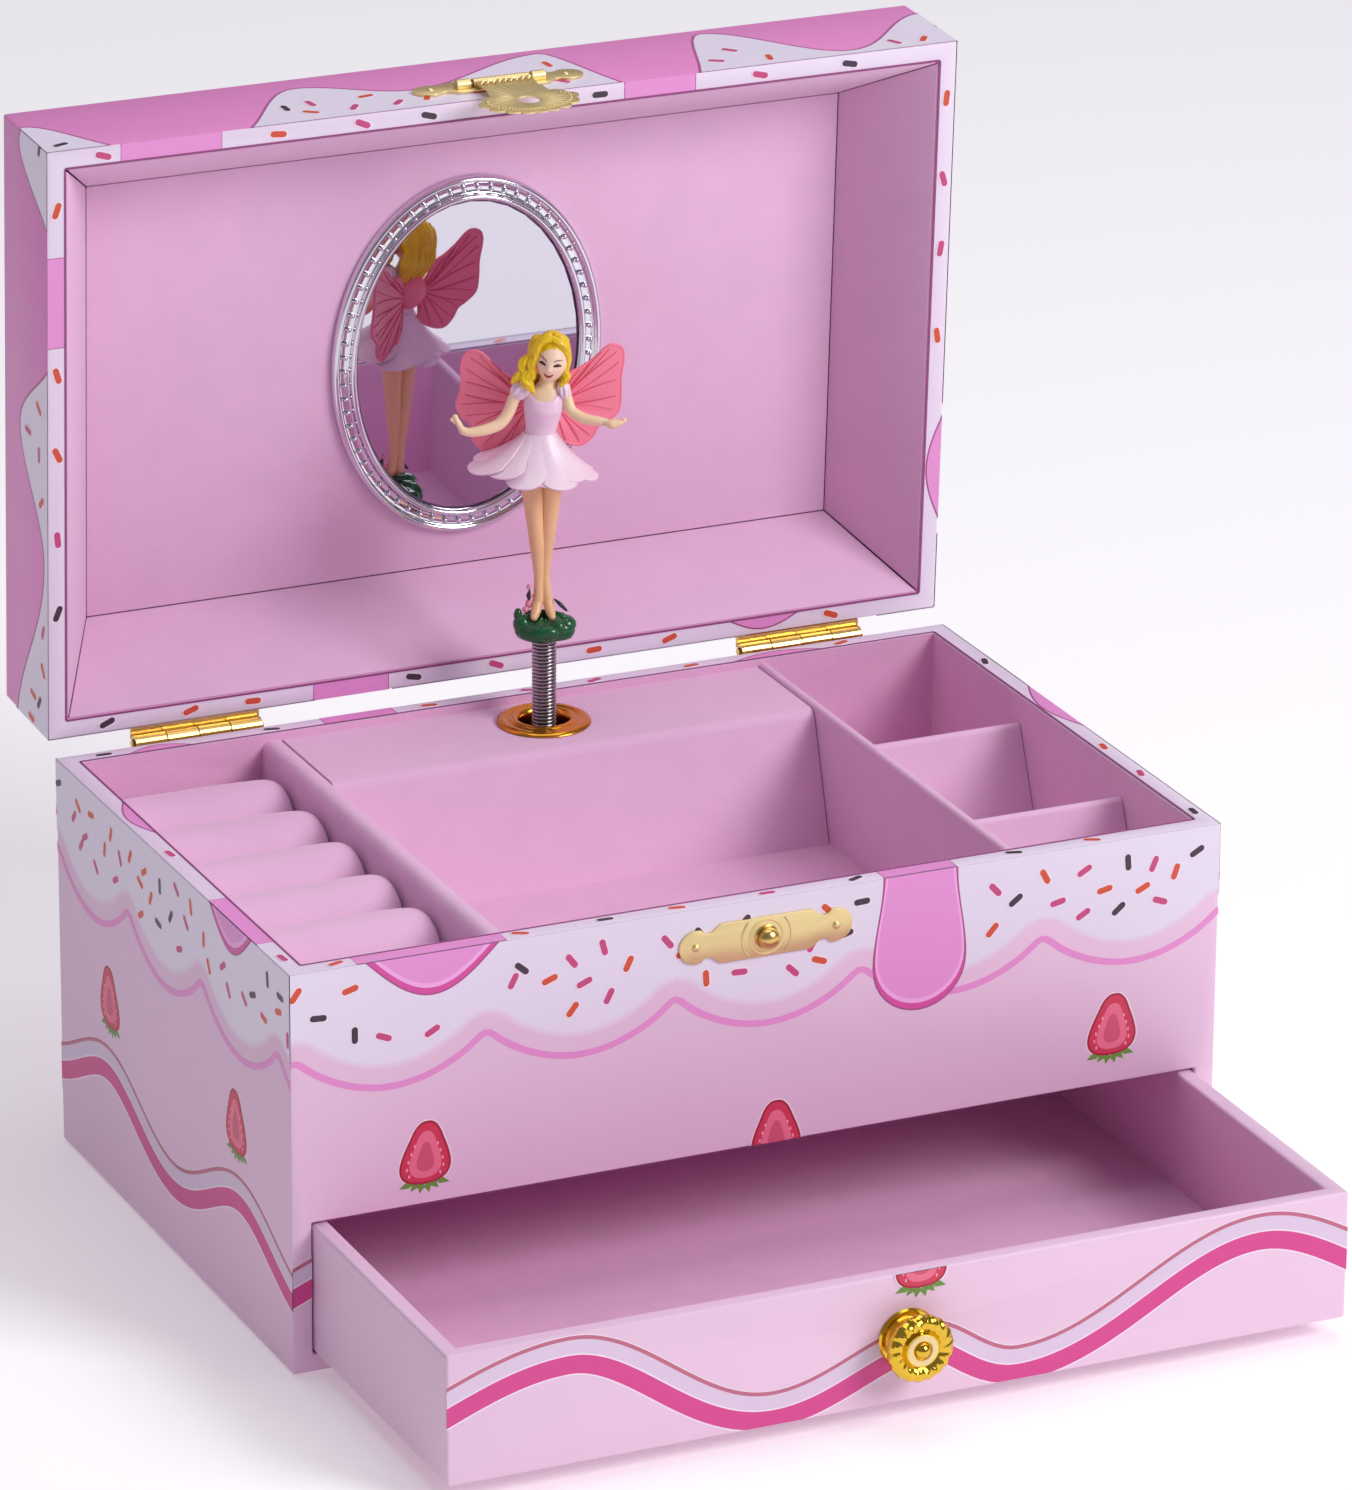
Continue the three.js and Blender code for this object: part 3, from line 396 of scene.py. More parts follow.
def smooth_path(points, steps=8, closed=False):
    """A Catmull-Rom curve through the points, of any dimension."""
    p = np.array(points, float)
    count = len(p)
    spans = count if closed else count - 1
    result = []
    for i in range(spans):
        near = [p[(i + k) % count] if closed else p[min(max(i + k, 0), count - 1)] for k in (-1, 0, 1, 2)]
        a, b, c, d = near
        for t in np.arange(steps) / steps:
            result.append(0.5 * (2 * b + (c - a) * t + (2 * a - 5 * b + 4 * c - d) * t * t
                                 + (3 * b - a - 3 * c + d) * t ** 3))
    if not closed:
        result.append(p[-1])
    return [tuple(q) for q in result]


def ride(obj, body, slot, *replaced):
    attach(obj, body)
    if replaced:
        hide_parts(*replaced)
    return obj


def ball(centre, radius, sides=12, rings=8, scale=(1, 1, 1)):
    """Vertices and faces of a small round bead."""
    cx, cy, cz = centre
    vertices = [(cx, cy, cz + radius * scale[2])]
    for i in range(1, rings):
        theta = math.pi * i / rings
        for j in range(sides):
            phi = 2 * math.pi * j / sides
            vertices.append((cx + radius * scale[0] * math.sin(theta) * math.cos(phi),
                             cy + radius * scale[1] * math.sin(theta) * math.sin(phi),
                             cz + radius * scale[2] * math.cos(theta)))
    vertices.append((cx, cy, cz - radius * scale[2]))
    faces = [(0, 1 + j, 1 + (j + 1) % sides) for j in range(sides)]
    for i in range(rings - 2):
        row = 1 + i * sides
        faces += [(row + j, row + sides + j, row + sides + (j + 1) % sides, row + (j + 1) % sides)
                  for j in range(sides)]
    last = len(vertices) - 1
    row = last - sides
    faces += [(row + j, last, row + (j + 1) % sides) for j in range(sides)]
    return vertices, faces


# ------------------------------------------------------------------ case, lid and drawer shells


def line_cavity(obj, is_inside, lining, place=None):
    """Gives the faces for which is_inside(centre) holds the lining material."""
    obj.data.materials.append(lining)
    back = place.inverted() if place is not None else Matrix.Identity(4)
    last = len(obj.data.materials) - 1
    for face in obj.data.polygons:
        if is_inside(back @ (face.center / MM)):
            face.material_index = last


def make_case():
    """The case's boards under one wrap of paper, with the tray's well and the drawer's bay cut out."""
    case = block("case_shell", (-HALF_X, -HALF_Y, 0), (HALF_X, HALF_Y, TOP), paper)
    over = 1
    well = block("well", (-IN_X, -IN_Y, BASE_TOP), (IN_X, IN_Y, TOP + over), paper)
    bay = block("bay", (-IN_X, -HALF_Y - over, BASE_TOP), (IN_X, -IN_Y + over, BAY_TOP), paper)
    arbor = centre_mm("winding_arbor")
    key_hole = turned("key_hole", [(0, -9), (2.65, -9), (2.65, 9), (0, 9)], paper,
                      Matrix.Translation((arbor.x, HALF_Y, arbor.z)) @ Matrix.Rotation(math.pi / 2, 4, "X"))
    hollowed(case, [well, bay, key_hole])
    settle(bevel(case, 0.55, 2))
    skin = 0.05
    line_cavity(case, lambda p: p.z > TOP - 0.6, rim_paper)
    # the well's walls get the velvet painted darker as shade
    line_cavity(case, lambda p: abs(p.x) < IN_X + skin and abs(p.y) < IN_Y + skin and p.z < TOP - 0.6
                and p.z > BASE_TOP - skin, shaded_wall_velvet)
    ride(case, "case", "printed_paper", "case_base", "case_left_side", "case_right_side", "case_back",
         "case_front")


def make_lid_shell():
    """The lid's top and walls under one wrap of paper, open below."""
    low, high = (-HALF_X, -HALF_Y, LID_BOTTOM), (HALF_X, HALF_Y, LID_TOP)
    lid = block("lid_shell", low, high, lid_paper, LID)
    inner = block("inner", (-IN_X, -IN_Y, LID_BOTTOM - 1), (IN_X, IN_Y, LID_TOP - 2.4), lid_paper, LID)
    hollowed(lid, [inner])
    settle(bevel(lid, 0.7, 2))
    line_cavity(lid, lambda p: p.z < LID_BOTTOM + 0.4, rim_paper, LID)
    ride(lid, "lid", "printed_paper", "lid_top", "lid_front_wall", "lid_back_wall", "lid_left_wall",
         "lid_right_wall")


def make_drawer():
    """The drawer's four boards as one wrapped frame round its lined floor."""
    low = Vector((DRAWER_LOW.x, DRAWER_LOW.y, DRAWER_LOW.z))
    high = Vector((DRAWER_HIGH.x, DRAWER_BACK[1].y, DRAWER_HIGH.z))
    drawer = block("drawer_shell", low, high, drawer_paper)
    board = Vector((DRAWER_BOARD, DRAWER_BOARD, 0))
    inner = block("drawer_inner", low + board - Vector((0, 0, 1)), high - board + Vector((0, 0, 1)), paper)
    screw = centre_mm("knob_screw")
    bore = turned("knob_bore", [(0, -6), (1.9, -6), (1.9, 6), (0, 6)], paper,
                  Matrix.Translation((screw.x, low.y, screw.z)) @ Matrix.Rotation(math.pi / 2, 4, "X"))
    hollowed(drawer, [inner, bore])
    settle(bevel(drawer, 0.8, 3))
    # the drawer's inner walls get the velvet painted darker as shade
    line_cavity(drawer, lambda p: low.x + 4 < p.x < high.x - 4 and low.y + 4 < p.y < high.y - 4
                and p.z < high.z - 1, shaded_wall_velvet)
    ride(drawer, "drawer", "printed_paper", "drawer_front", "drawer_back", "drawer_left_side",
         "drawer_right_side")


rim_paper = surface("rim_paper", (236, 221, 240), 0.4, mottle=0.01, grain=0.12, grain_size=0.35)
drawer_paper = surface("drawer_paper", (234, 199, 224), 0.42, mottle=0.015, grain=0.12, grain_size=0.35)

# ------------------------------------------------------------------ linings, dividers and rolls


def make_lid_lining():
    """Five velvet-covered cards: a flat panel and four that slope out to the rim, mitred together."""
    rim = Vector((LINING_HIGH.x, LINING_HIGH.y))
    inset, thick, gap, edge = 15, 1.3, 0.05, 0.1
    low, high = LINING_LOW.z + 0.2, LINING_HIGH.z - 1.2
    outer = [(-rim.x, -rim.y), (rim.x, -rim.y), (rim.x, rim.y), (-rim.x, rim.y)]
    inner = [(math.copysign(rim.x - inset, x), math.copysign(rim.y - inset, y)) for x, y in outer]
    shapes = []
    for i in range(4):
        j = (i + 1) % 4
        a, b, c, d = (Vector((*p, z)) for p, z in ((outer[i], low), (outer[j], low), (inner[j], high),
                                                  (inner[i], high)))
        run = (b - a).normalized()
        a, b = a + run * (edge + gap), b - run * (edge + gap)
        c, d = c - run * gap, d + run * gap
        normal = (b - a).cross(d - a).normalized()
        if normal.z > 0:
            normal.negate()
        face = [a, b, c, d]
        back = [p - normal * thick for p in face]
        shapes.append((face + back, [(0, 1, 2, 3), (7, 6, 5, 4), (0, 4, 5, 1), (1, 5, 6, 2), (2, 6, 7, 3),
                                     (3, 7, 4, 0)]))
    x, y = rim.x - inset - 2 * gap, rim.y - inset - 2 * gap
    panel = [(sx * x, sy * y, z) for z in (high - 0.15, high + 1) for sx,
             sy in ((-1, -1), (1, -1), (1, 1), (-1, 1))]
    shapes.append((panel,
                   [(0, 1, 2, 3), (7, 6, 5, 4), (0, 4, 5, 1), (1, 5, 6, 2), (2, 6, 7, 3), (3, 7, 4, 0)]))
    lining = add("lid_lining_cards", *merged(shapes), [velvet], LID)
    settle(bevel(lining, 0.3, 2))
    ride(lining, "lid", "velvet", "lid_lining")


def round_board(x0, x1, z0, z1, radius, steps=8):
    """A board's outline with both top corners rounded."""
    outline = [(x0, z0), (x1, z0)]
    for i in range(steps + 1):
        angle = math.pi / 2 * i / steps
        outline.append((x1 - radius + radius * math.cos(angle), z1 - radius + radius * math.sin(angle)))
    for i in range(steps + 1):
        angle = math.pi / 2 * (1 + i / steps)
        outline.append((x0 + radius + radius * math.cos(angle), z1 - radius + radius * math.sin(angle)))
    return outline


def make_dividers():
    for name, radius in (("left_divider", 2.9), ("right_divider", 1.2)):
        low, high = box_mm(name)
        board = extruded(f"{name}_cover", round_board(low.x, high.x, low.z, high.z, radius), along_y,
                         low.y, high.y, velvet)
        ride(board, "case", "velvet", name)
    for name in ("rear_cross_divider", "front_cross_divider"):
        low, high = box_mm(name)
        thick = 3
        top, fold = high.z, 1.1
        outline = [(high.y, low.z), (low.y, low.z), (high.y - thick, top - fold)]
        for i in range(7):
            angle = math.pi * (1 - i / 6)
            outline.append((high.y - thick / 2 + thick / 2 * math.cos(angle),
                            top - fold + fold * math.sin(angle)))
        board = extruded(f"{name}_cover", outline[::-1], along_x, low.x, high.x, velvet)
        ride(board, "case", "velvet", name)


def make_platform():
    """One sheet of velvet paper folded over the top board and down its leaning front."""
    low, high = PLATFORM_LOW, PLATFORM_TOP
    front_low, _ = box_mm("platform_front")
    fold, thick, lean_y, floor = 2.6, 2.2, front_low.y, front_low.z
    down = Vector((lean_y - low.y, floor - high.z)).normalized()
    path = [Vector((high.y, high.z))]
    corner = Vector((low.y, high.z))
    start, end = corner + Vector((fold, 0)), corner + down * fold
    for i in range(9):
        t = i / 8
        path.append(start * (1 - t) ** 2 + corner * 2 * t * (1 - t) + end * t ** 2)
    path.append(Vector((lean_y, floor)))
    inner = []
    for i, point in enumerate(path):
        ahead = path[min(i + 1, len(path) - 1)] - path[max(i - 1, 0)]
        inner.append(point + Vector((-ahead.y, ahead.x)).normalized() * thick)
    inner[-1] = Vector((lean_y + thick * 1.05, floor))
    outline = [tuple(p) for p in path + inner[::-1]]
    tuck = 0.8
    cover = extruded("platform_cover", outline, along_x, low.x - tuck, high.x, velvet, sharp=50)
    hole = turned("hole", [(0, -9), (7.5, -9), (7.5, 9), (0, 9)], velvet,
                  Matrix.Translation((SPINDLE.x, SPINDLE.y, high.z)))
    hollowed(cover, [hole])
    ride(cover, "case", "velvet", "platform_top", "platform_front")


def make_ring_roll(number):
    """A foam roll in velvet paper: round on top, pulled in at its ends and tucked down between others."""
    node = f"ring_roll_{number}"
    low, high = box_mm(node)
    centre, half = (low + high) / 2, (high - low) / 2
    rows, columns = 21, 28
    rng = np.random.default_rng(40 + number)
    phases = rng.uniform(0, 2 * math.pi, 4)
    vertices = []
    for i in range(rows):
        t = 2 * i / (rows - 1) - 1
        end = math.sqrt(max(0.0, 1 - abs(t) ** 9))
        crown = 0.985 + 0.015 * math.cos(t * math.pi / 2)
        x = centre.x + half.x * t * (1 - 0.004 * abs(t))
        round_z = high.z - half.y
        for j in range(columns):
            angle = 2 * math.pi * j / columns
            wrinkle = 1 + 0.006 * math.sin(3 * angle + phases[0] + 2 * t) + 0.005 * math.sin(
                7 * t + phases[1] + angle)
            radius = half.y * crown * (0.8 + 0.2 * end) * wrinkle
            a, b = radius * math.cos(angle), radius * math.sin(angle)
            z = round_z + b * (1 if b > 0 else 0.9)
            vertices.append((x, centre.y + a, min(z, high.z)))
    for i in (0, rows - 1):
        ring = vertices[i * columns:(i + 1) * columns]
        middle = tuple(sum(p[k] for p in ring) / columns for k in range(3))
        vertices.append(middle)
    faces = grid_faces(rows, columns, False, True)
    first, last = rows * columns, rows * columns + 1
    faces += [(first, (j + 1) % columns, j) for j in range(columns)]
    base = (rows - 1) * columns
    faces += [(last, base + j, base + (j + 1) % columns) for j in range(columns)]
    roll = add(f"{node}_cover", vertices, faces, [velvet], sharp=60)
    smoothing = roll.modifiers.new("smooth", "SUBSURF")
    smoothing.levels = smoothing.render_levels = 1
    settle(roll, 60)
    ride(roll, "case", "velvet", node)


# ------------------------------------------------------------------ mirror


def oval_point(angle, offset, height):
    """A point offset outwards from the mirror's oval edge, with the lid shut."""
    a, b = BEZEL_HIGH.x, BEZEL_HIGH.y
    normal = Vector((math.cos(angle) / a, math.sin(angle) / b)).normalized()
    return (a * math.cos(angle) + normal.x * offset, b * math.sin(angle) + normal.y * offset,
            BEZEL_HIGH.z - height)


def make_mirror():
    """A stepped oval frame with a ring of beads, round silvered glass."""
    profile = [(0, 0), (0, 1.2), (-0.3, 1.9), (-0.9, 2.3), (-1.5, 2.2), (-1.8, 1.7), (-2.1, 1.5),
               (-4.3, 1.5), (-4.5, 1.7), (-4.7, 2.4), (-5.1, 2.9), (-5.7, 3.0), (-6.2, 2.6), (-6.5, 1.6),
               (-6.5, 0)]
    sides = 128
    angles = [2 * math.pi * i / sides for i in range(sides)]
    vertices = [oval_point(angle, offset, height) for angle in angles for offset, height in profile]
    frame_shape = (vertices, grid_faces(sides, len(profile), True, True))
    beads, count = [], 66
    ring = np.array([oval_point(2 * math.pi * i / 720, -3.2, 1.6) for i in range(721)])
    steps = np.concatenate([[0], np.cumsum(np.linalg.norm(np.diff(ring, axis=0), axis=1))])
    for i in range(count):
        where = steps[-1] * i / count
        centre = [np.interp(where, steps, ring[:, k]) for k in range(3)]
        beads.append(ball(centre, 0.78, 10, 6))
    bezel = add("mirror_frame", *merged([frame_shape, *beads]), [chrome], LID, sharp=50)
    ride(bezel, "lid", "chrome_plate", "mirror_bezel")
    paint_node("mirror_glass", silvering)


def paint_node(node, material, bevel_mm=0.0):
    """Gives a CAD node its finish, with its edges softened."""
    obj = frame["nodes"][node]
    obj.data.materials.clear()
    obj.data.materials.append(material)
    if bevel_mm:
        bevel(obj, bevel_mm, 2, 30)
    shade(obj.data, 30)


# ------------------------------------------------------------------ metalwork


def make_hinges():
    for side in ("left", "right"):
        for part in ("case_leaf", "lid_leaf"):
            paint_node(f"{side}_hinge_{part}", gold, 0.22)
        paint_node(f"{side}_hinge_pin", gold)


def plate_outline():
    """The catch's plate about its centre: a straight middle, a notch each side and round ends."""
    half, middle, lobe = 23.3, 5.2, 4.3
    quarter = [(0, middle), (11.5, middle), (12.4, middle - 0.2), (14.4, 3.5), (15.5, 3.15), (16.6, 3.4),
               (17.5, lobe), (19, lobe + 0.1)]
    centre = half - lobe
    quarter += [(centre + lobe * math.sin(a), lobe * math.cos(a))
                for a in np.linspace(0.25, math.pi / 2, 8)]
    right = quarter + [(x, -y) for x, y in quarter[::-1][1:]]
    return right[:-1] + [(-x, y) for x, y in right[::-1]][:-1]


def make_catch():
    """The plate with its embossed rings and two brads, and the ball that the hasp presses over."""
    upright = Matrix.Translation((CATCH.x, -HALF_Y, CATCH.z)) @ Matrix.Rotation(math.pi / 2, 4, "X")
    outline = plate_outline()
    plate = extruded("plate", outline, along_z, 0.02, 0.7, pale_gold)
    settle(bevel(plate, 0.22, 2))
    ring = turned("ring", [(4.0, 0.5), (4.2, 0.82), (4.5, 0.9), (4.8, 0.82), (5.0, 0.5)], pale_gold,
                  None, 48)
    arcs = []
    for middle in (0, math.pi):
        path = [(6.6 * math.cos(middle + a), 6.6 * math.sin(middle + a), 0.62)
                for a in np.linspace(-0.72, 0.72, 17)]
        arcs.append(tube(path, [0.3] * 17, 8))
    rings = [ring, add("arcs", *merged(arcs), [pale_gold])]
    heads = [add("brad", *ball((sign * 18.9, 0, 0.7), 1.05, 14, 8, (1, 1, 0.7)), [pale_gold])
             for sign in (-1, 1)]
    collar = turned("collar", [(2.2, 0.5), (2.4, 1.1), (2.8, 1.2), (3.1, 0.95), (3.2, 0.5)], gold, None, 36)
    catch = joined("catch_plate_pressed", [plate, *rings, *heads, collar], upright)
    ride(catch, "case", "pale_gilt", "catch_plate")
    stud = turned("catch_stud", [(0, 0.3), (1.5, 0.3), (1.6, 1.0)] + [
        (2.75 * math.cos(a), 2.2 + 2.2 * math.sin(a)) for a in np.linspace(-0.5, math.pi / 2 - 0.05, 12)]
        + [(0, 4.4)], gold, upright, 32)
    ride(stud, "case", "pale_gilt", "catch_ball")


def joined(name, objects, place=None):
    """One object from several, keeping each one's material."""
    vertices, faces, indices, materials = [], [], [], []
    for obj in objects:
        start = len(vertices)
        vertices += [v.co / MM for v in obj.data.vertices]
        material = obj.data.materials[0]
        if material not in materials:
            materials.append(material)
        faces += [tuple(start + v for v in face.vertices) for face in obj.data.polygons]
        indices += [materials.index(material)] * len(obj.data.polygons)
        bpy.data.objects.remove(obj)
    return add(name, vertices, faces, materials, place, indices=indices)


def make_hasp():
    """The wavy plate on the lid, and the shell that swings on it, rayed and beaded at its scalloped edge."""
    front = HASP_LOW.y
    plate_centre = HASP_PIN.z + 1.2
    upright = Matrix.Rotation(math.pi / 2, 4, "X")
    on_lid = LID @ Matrix.Translation((0, -HALF_Y, plate_centre)) @ upright
    slim = 0.78
    plate = extruded("plate", [(x, y * slim) for x, y in plate_outline()], along_z, 0.02, 0.8, pale_gold)
    settle(bevel(plate, 0.2, 2))
    pieces = [plate]
    drop = HASP_PIN.z - plate_centre
    reach = -HALF_Y - HASP_PIN.y
    for sign in (-1, 1):
        knuckle = turned("knuckle", [(0, -2.1), (1.1, -2.1), (1.4, -1.8), (1.4, 1.8), (1.1, 2.1), (0, 2.1)],
                         pale_gold, Matrix.Translation((sign * 10.3, drop,
                                                        reach)) @ Matrix.Rotation(math.pi / 2, 4, "Y"),
                         20)
        pieces.append(knuckle)
        pieces.append(add("brad", *ball((sign * 18.6, 0, 0.75), 0.95, 12, 8, (1, 1, 0.6)), [pale_gold]))
    plate_all = joined("hasp_plate_pressed", pieces, on_lid)
    ride(plate_all, "lid", "pale_gilt", "hasp_plate")
    paint_node("hasp_pin", pale_gold)
    make_hasp_shell(front)


def make_hasp_shell(front):
    """A scalloped shell: polar rows of ridges from the neck, a round hole and a border of dots."""
    top, bottom = HASP_PIN.z, HASP_LOW.z
    hole_z, hole_r = CATCH.z, 2.9
    half, scallops = HASP_HIGH.x - 0.2, 16
    sides, rows = 180, 7
    vertices = []
    for i in range(sides):
        angle = 2 * math.pi * i / sides
        ux, uz = math.sin(angle), math.cos(angle)
        ripple = 0.87 + 0.14 * math.sqrt(abs(math.cos(scallops * angle / 2)))
        outer_r = ripple * shell_reach(ux, uz, half, bottom, top, hole_z)
        for j in range(rows):
            t = j / (rows - 1)
            r = hole_r + (outer_r - hole_r) * t
            rays = 0.1 * math.cos(angle * 36) * math.sin(math.pi * t)
            dome = 0.14 * math.sin(math.pi * min(1, t * 1.15)) + rays
            vertices.append((ux * r, -dome, hole_z + uz * r))
    count = sides * rows
    back = [(x, 0.45, z) for x, _, z in vertices]
    faces = grid_faces(sides, rows, True, False)
    faces += [tuple(count + k for k in face[::-1]) for face in faces]
    for i in range(sides):
        k = (i + 1) % sides
        a, b = i * rows, k * rows
        faces.append((a, b, count + b, count + a))
        a, b = a + rows - 1, b + rows - 1
        faces.append((b, a, count + a, count + b))
    shell = add("shell", vertices + back, faces, [pale_gold], None, 50)
    beads = []
    for i in range(44):
        angle = math.pi * (0.42 + 1.16 * i / 43)
        ux, uz = math.sin(angle), math.cos(angle)
        r = shell_reach(ux, uz, half, bottom, top, hole_z) - 2.3
        beads.append(ball((ux * r, -0.1, hole_z + uz * r), 0.3, 8, 6))
    rope = []
    for i in range(9):
        x = -6.4 + 1.6 * i
        rope.append(tube([(x - 0.7, -0.25, top - 4.6), (x, -0.75, top - 3.8), (x + 0.7, -0.25, top - 3.0)],
                         [0.2, 0.42, 0.2], 8))
    dots = add("dots", *merged(beads + rope), [pale_gold])
    knuckle = turned("knuckle", [(0.9, -7.6), (1.25, -7.6), (1.25, 7.6), (0.9, 7.6)], pale_gold,
                     Matrix.Translation((0, HASP_PIN.y - front - 0.45,
                                         top)) @ Matrix.Rotation(math.pi / 2, 4, "Y"),
                     20)
    place = LID @ Matrix.Translation((0, front + 0.45, 0))
    hasp = joined("hasp_shell", [shell, dots, knuckle], place)
    ride(hasp, "hasp", "pale_gilt", "hasp")


def shell_reach(ux, uz, half, bottom, top, centre_z):
    """How far the hasp reaches from its hole in the direction (ux, uz)."""
    neck, shoulder = 7.6, top - 0.9
    best = 99.0
    below = centre_z - bottom
    if uz <= 0.25:
        a, b = half, below
        best = 1 / math.sqrt((ux / a) ** 2 + (uz / b) ** 2)
    if uz > 0:
        width = half + (neck - half) * min(1, max(0, (uz - 0.1) / 0.55))
        side = width / max(abs(ux), 1e-6)
        best = min(best, side, (shoulder - centre_z) / max(uz, 1e-6))
    return best


def make_knob():
    """A small knob: a foot on the drawer, a neck, and a disc with a rope-twist rim and a stepped boss."""
    low, high = box_mm("drawer_knob")
    centre_z = (low.z + high.z) / 2
    place = Matrix.Translation((0, DRAWER_LOW.y, centre_z)) @ Matrix.Rotation(math.pi / 2, 4, "X")
    foot = [(0, 0), (7.4, 0), (7.6, 0.5), (7.2, 1.1), (6.3, 1.3), (6.0, 1.9), (4.6, 2.6), (3.3, 3.2),
            (3.1, 4.2), (4.4, 4.9)]
    rope_in = [(6.2, 5.2), (7.5, 5.5), (8.3, 6.2), (8.6, 7.1), (8.5, 7.9), (8.0, 8.7), (7.2, 9.2),
               (6.3, 9.3),
               (5.5, 9.0), (5.0, 8.5)]
    face = [(4.7, 8.3), (4.5, 8.6), (4.3, 8.9), (4.0, 9.0), (2.6, 8.9), (2.4, 8.6), (2.2, 8.6), (2.0, 9.2),
            (1.7, 9.7), (1.1, 10.2), (0.5, 10.5), (0, 10.6)]
    profile = foot + rope_in + face
    strands, first, last = 18, len(foot), len(foot) + len(rope_in) - 1

    def rope(angle, radius, height):
        index = profile.index((radius, height))
        if not first <= index <= last:
            return angle, radius, height
        t = (index - first) / (last - first)
        wave = math.cos(strands * angle + t * 9)
        depth = 0.3 * math.sin(math.pi * t) * wave
        return angle, radius + depth * math.cos(math.pi * t), height + depth * math.sin(math.pi * t)

    casting = turned("casting", profile, yellow_gold, None, 260, rope, 60)
    washer = turned("washer", [(2.5, 8.7), (2.5, 9.06), (2.7, 9.12), (3.8, 9.16), (4.0, 9.06), (4.0, 8.7)],
                    pale_gold, None, 60)
    knob = joined("knob_casting", [casting, washer], place)
    ride(knob, "drawer", "gilt", "drawer_knob")


def make_grommet():
    low, high = box_mm("spindle_grommet")
    base = PLATFORM_TOP.z
    outer = (high.x - low.x) / 2
    profile = [(6.4, base - 4.5), (7.1, base - 4.5), (7.1, base + 0.05), (outer - 0.2, base + 0.05),
               (outer, base + 0.35), (outer - 0.3, base + 0.8), (outer - 1.2, base + 1.25),
               (outer - 2.1, base + 1.2), (outer - 2.6, base + 0.85), (outer - 3.1, base + 0.8),
               (outer - 3.7, base + 1.3), (outer - 4.5, base + 1.65), (outer - 5.2, base + 1.4),
               (6.55, base + 0.7), (6.4, base + 0.1)]
    grommet = turned("grommet", profile, orange_gold, Matrix.Translation((SPINDLE.x, SPINDLE.y, 0)), 72,
                     sharp=50)
    ride(grommet, "case", "gilt", "spindle_grommet")


def make_spring():
    """A close-wound steel spring, made straight; the real one bows when the lid pushes the dancer down."""
    low, high = box_mm("dancer_spring")
    radius, wire, pitch = (high.x - low.x) / 2 - 0.45, 0.43, 0.98
    turns = (high.z - low.z - 2 * wire) / pitch
    per_turn = 20
    count = int(turns * per_turn)
    path = []
    for i in range(count + 1):
        angle = 2 * math.pi * i / per_turn
        path.append((SPINDLE.x + radius * math.cos(angle), SPINDLE.y + radius * math.sin(angle),
                     low.z + wire + pitch * i / per_turn))
    vertices, faces = tube(path, [wire] * len(path), 7)
    spring = add("coil_spring", vertices, faces, [steel], sharp=70)
    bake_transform(spring)
    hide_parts("dancer_spring")


def paint_movement():
    """The musical movement under the platform, its key, and the plain boards."""
    for node in ("spring_housing", "crown_wheel", "music_cylinder", "governor_fan"):
        paint_node(node, brass, 0.05)
    paint_node("winding_key", brass, 0.4)
    for node in ("winding_arbor", "dancer_spindle", "comb", "mainspring", "knob_screw"):
        paint_node(node, steel)
    paint_node("movement_frame", zinc, 0.3)
    paint_node("spring_collar", white_plastic)
    # floors and the bay ceiling get the velvet painted darker as shade
    paint_node("tray_floor", shaded_floor_velvet)
    paint_node("bay_ceiling", shaded_wall_velvet)
    paint_node("drawer_floor", shaded_floor_velvet)


# ------------------------------------------------------------------ printed pattern, and painted shade along the rims' inner edges

INK_LIFT, INK_STEP, INK_SINK, INK_MARGIN = 0.02, 0.012, 0.05, 0.12


def ink(name, colour):
    return surface(f"ink_{name}", colour, 0.42, mottle=0.012, grain=0.12, grain_size=0.35)


icing = ink("icing", (233, 223, 240))
icing_edges = [ink(f"icing_edge_{i + 1}",
                   [round(a + (b - a) * t) for a, b in zip((234, 197, 223), (233, 223, 240))])
               for i, t in enumerate((0.2, 0.45, 0.72))]
scallop_pink = ink("scallop_pink", (233, 146, 209))
drip_fill = ink("drip_fill", (234, 150, 214))
drip_dark = ink("drip_dark", (168, 78, 138))
drip_light = ink("drip_light", (246, 176, 229))
drip_low = ink("drip_low", (217, 78, 162))
lobe_line = ink("lobe_line", (178, 92, 146))
wave_rose = ink("wave_rose", (192, 104, 132))
wave_lilac = ink("wave_lilac", (222, 200, 224))
wave_magenta = ink("wave_magenta", (215, 66, 142))
halo_white = ink("halo_white", (243, 226, 238))
SPRINKLES = {"d": ink("sprinkle_plum", (62, 46, 66)), "o": ink("sprinkle_orange", (216, 80, 50)),
             "m": ink("sprinkle_magenta", (201, 70, 128))}
berry_dark = ink("berry_dark", (168, 26, 56))
berry_red = ink("berry_red", (212, 52, 86))
berry_light = ink("berry_light", (238, 112, 142))
berry_heart = ink("berry_heart", (212, 84, 116))
berry_seed = ink("berry_seed", (246, 168, 186))
leaf_green = ink("leaf_green", (106, 150, 58))


def clipped(outline, low, high):
    """An outline cut to a rectangle, one side after another."""
    for axis, limit, sign in ((0, low[0], 1), (0, high[0], -1), (1, low[1], 1), (1, high[1], -1)):
        kept = []
        for i, point in enumerate(outline):
            before = outline[i - 1]
            inside, was_inside = sign * (point[axis] - limit) >= 0, sign * (before[axis] - limit) >= 0
            if inside != was_inside:
                t = (limit - before[axis]) / (point[axis] - before[axis])
                kept.append(tuple(before[k] + (point[k] - before[k]) * t for k in (0, 1)))
            if inside:
                kept.append(tuple(point))
        outline = kept
        if len(outline) < 3:
            return []
    return outline


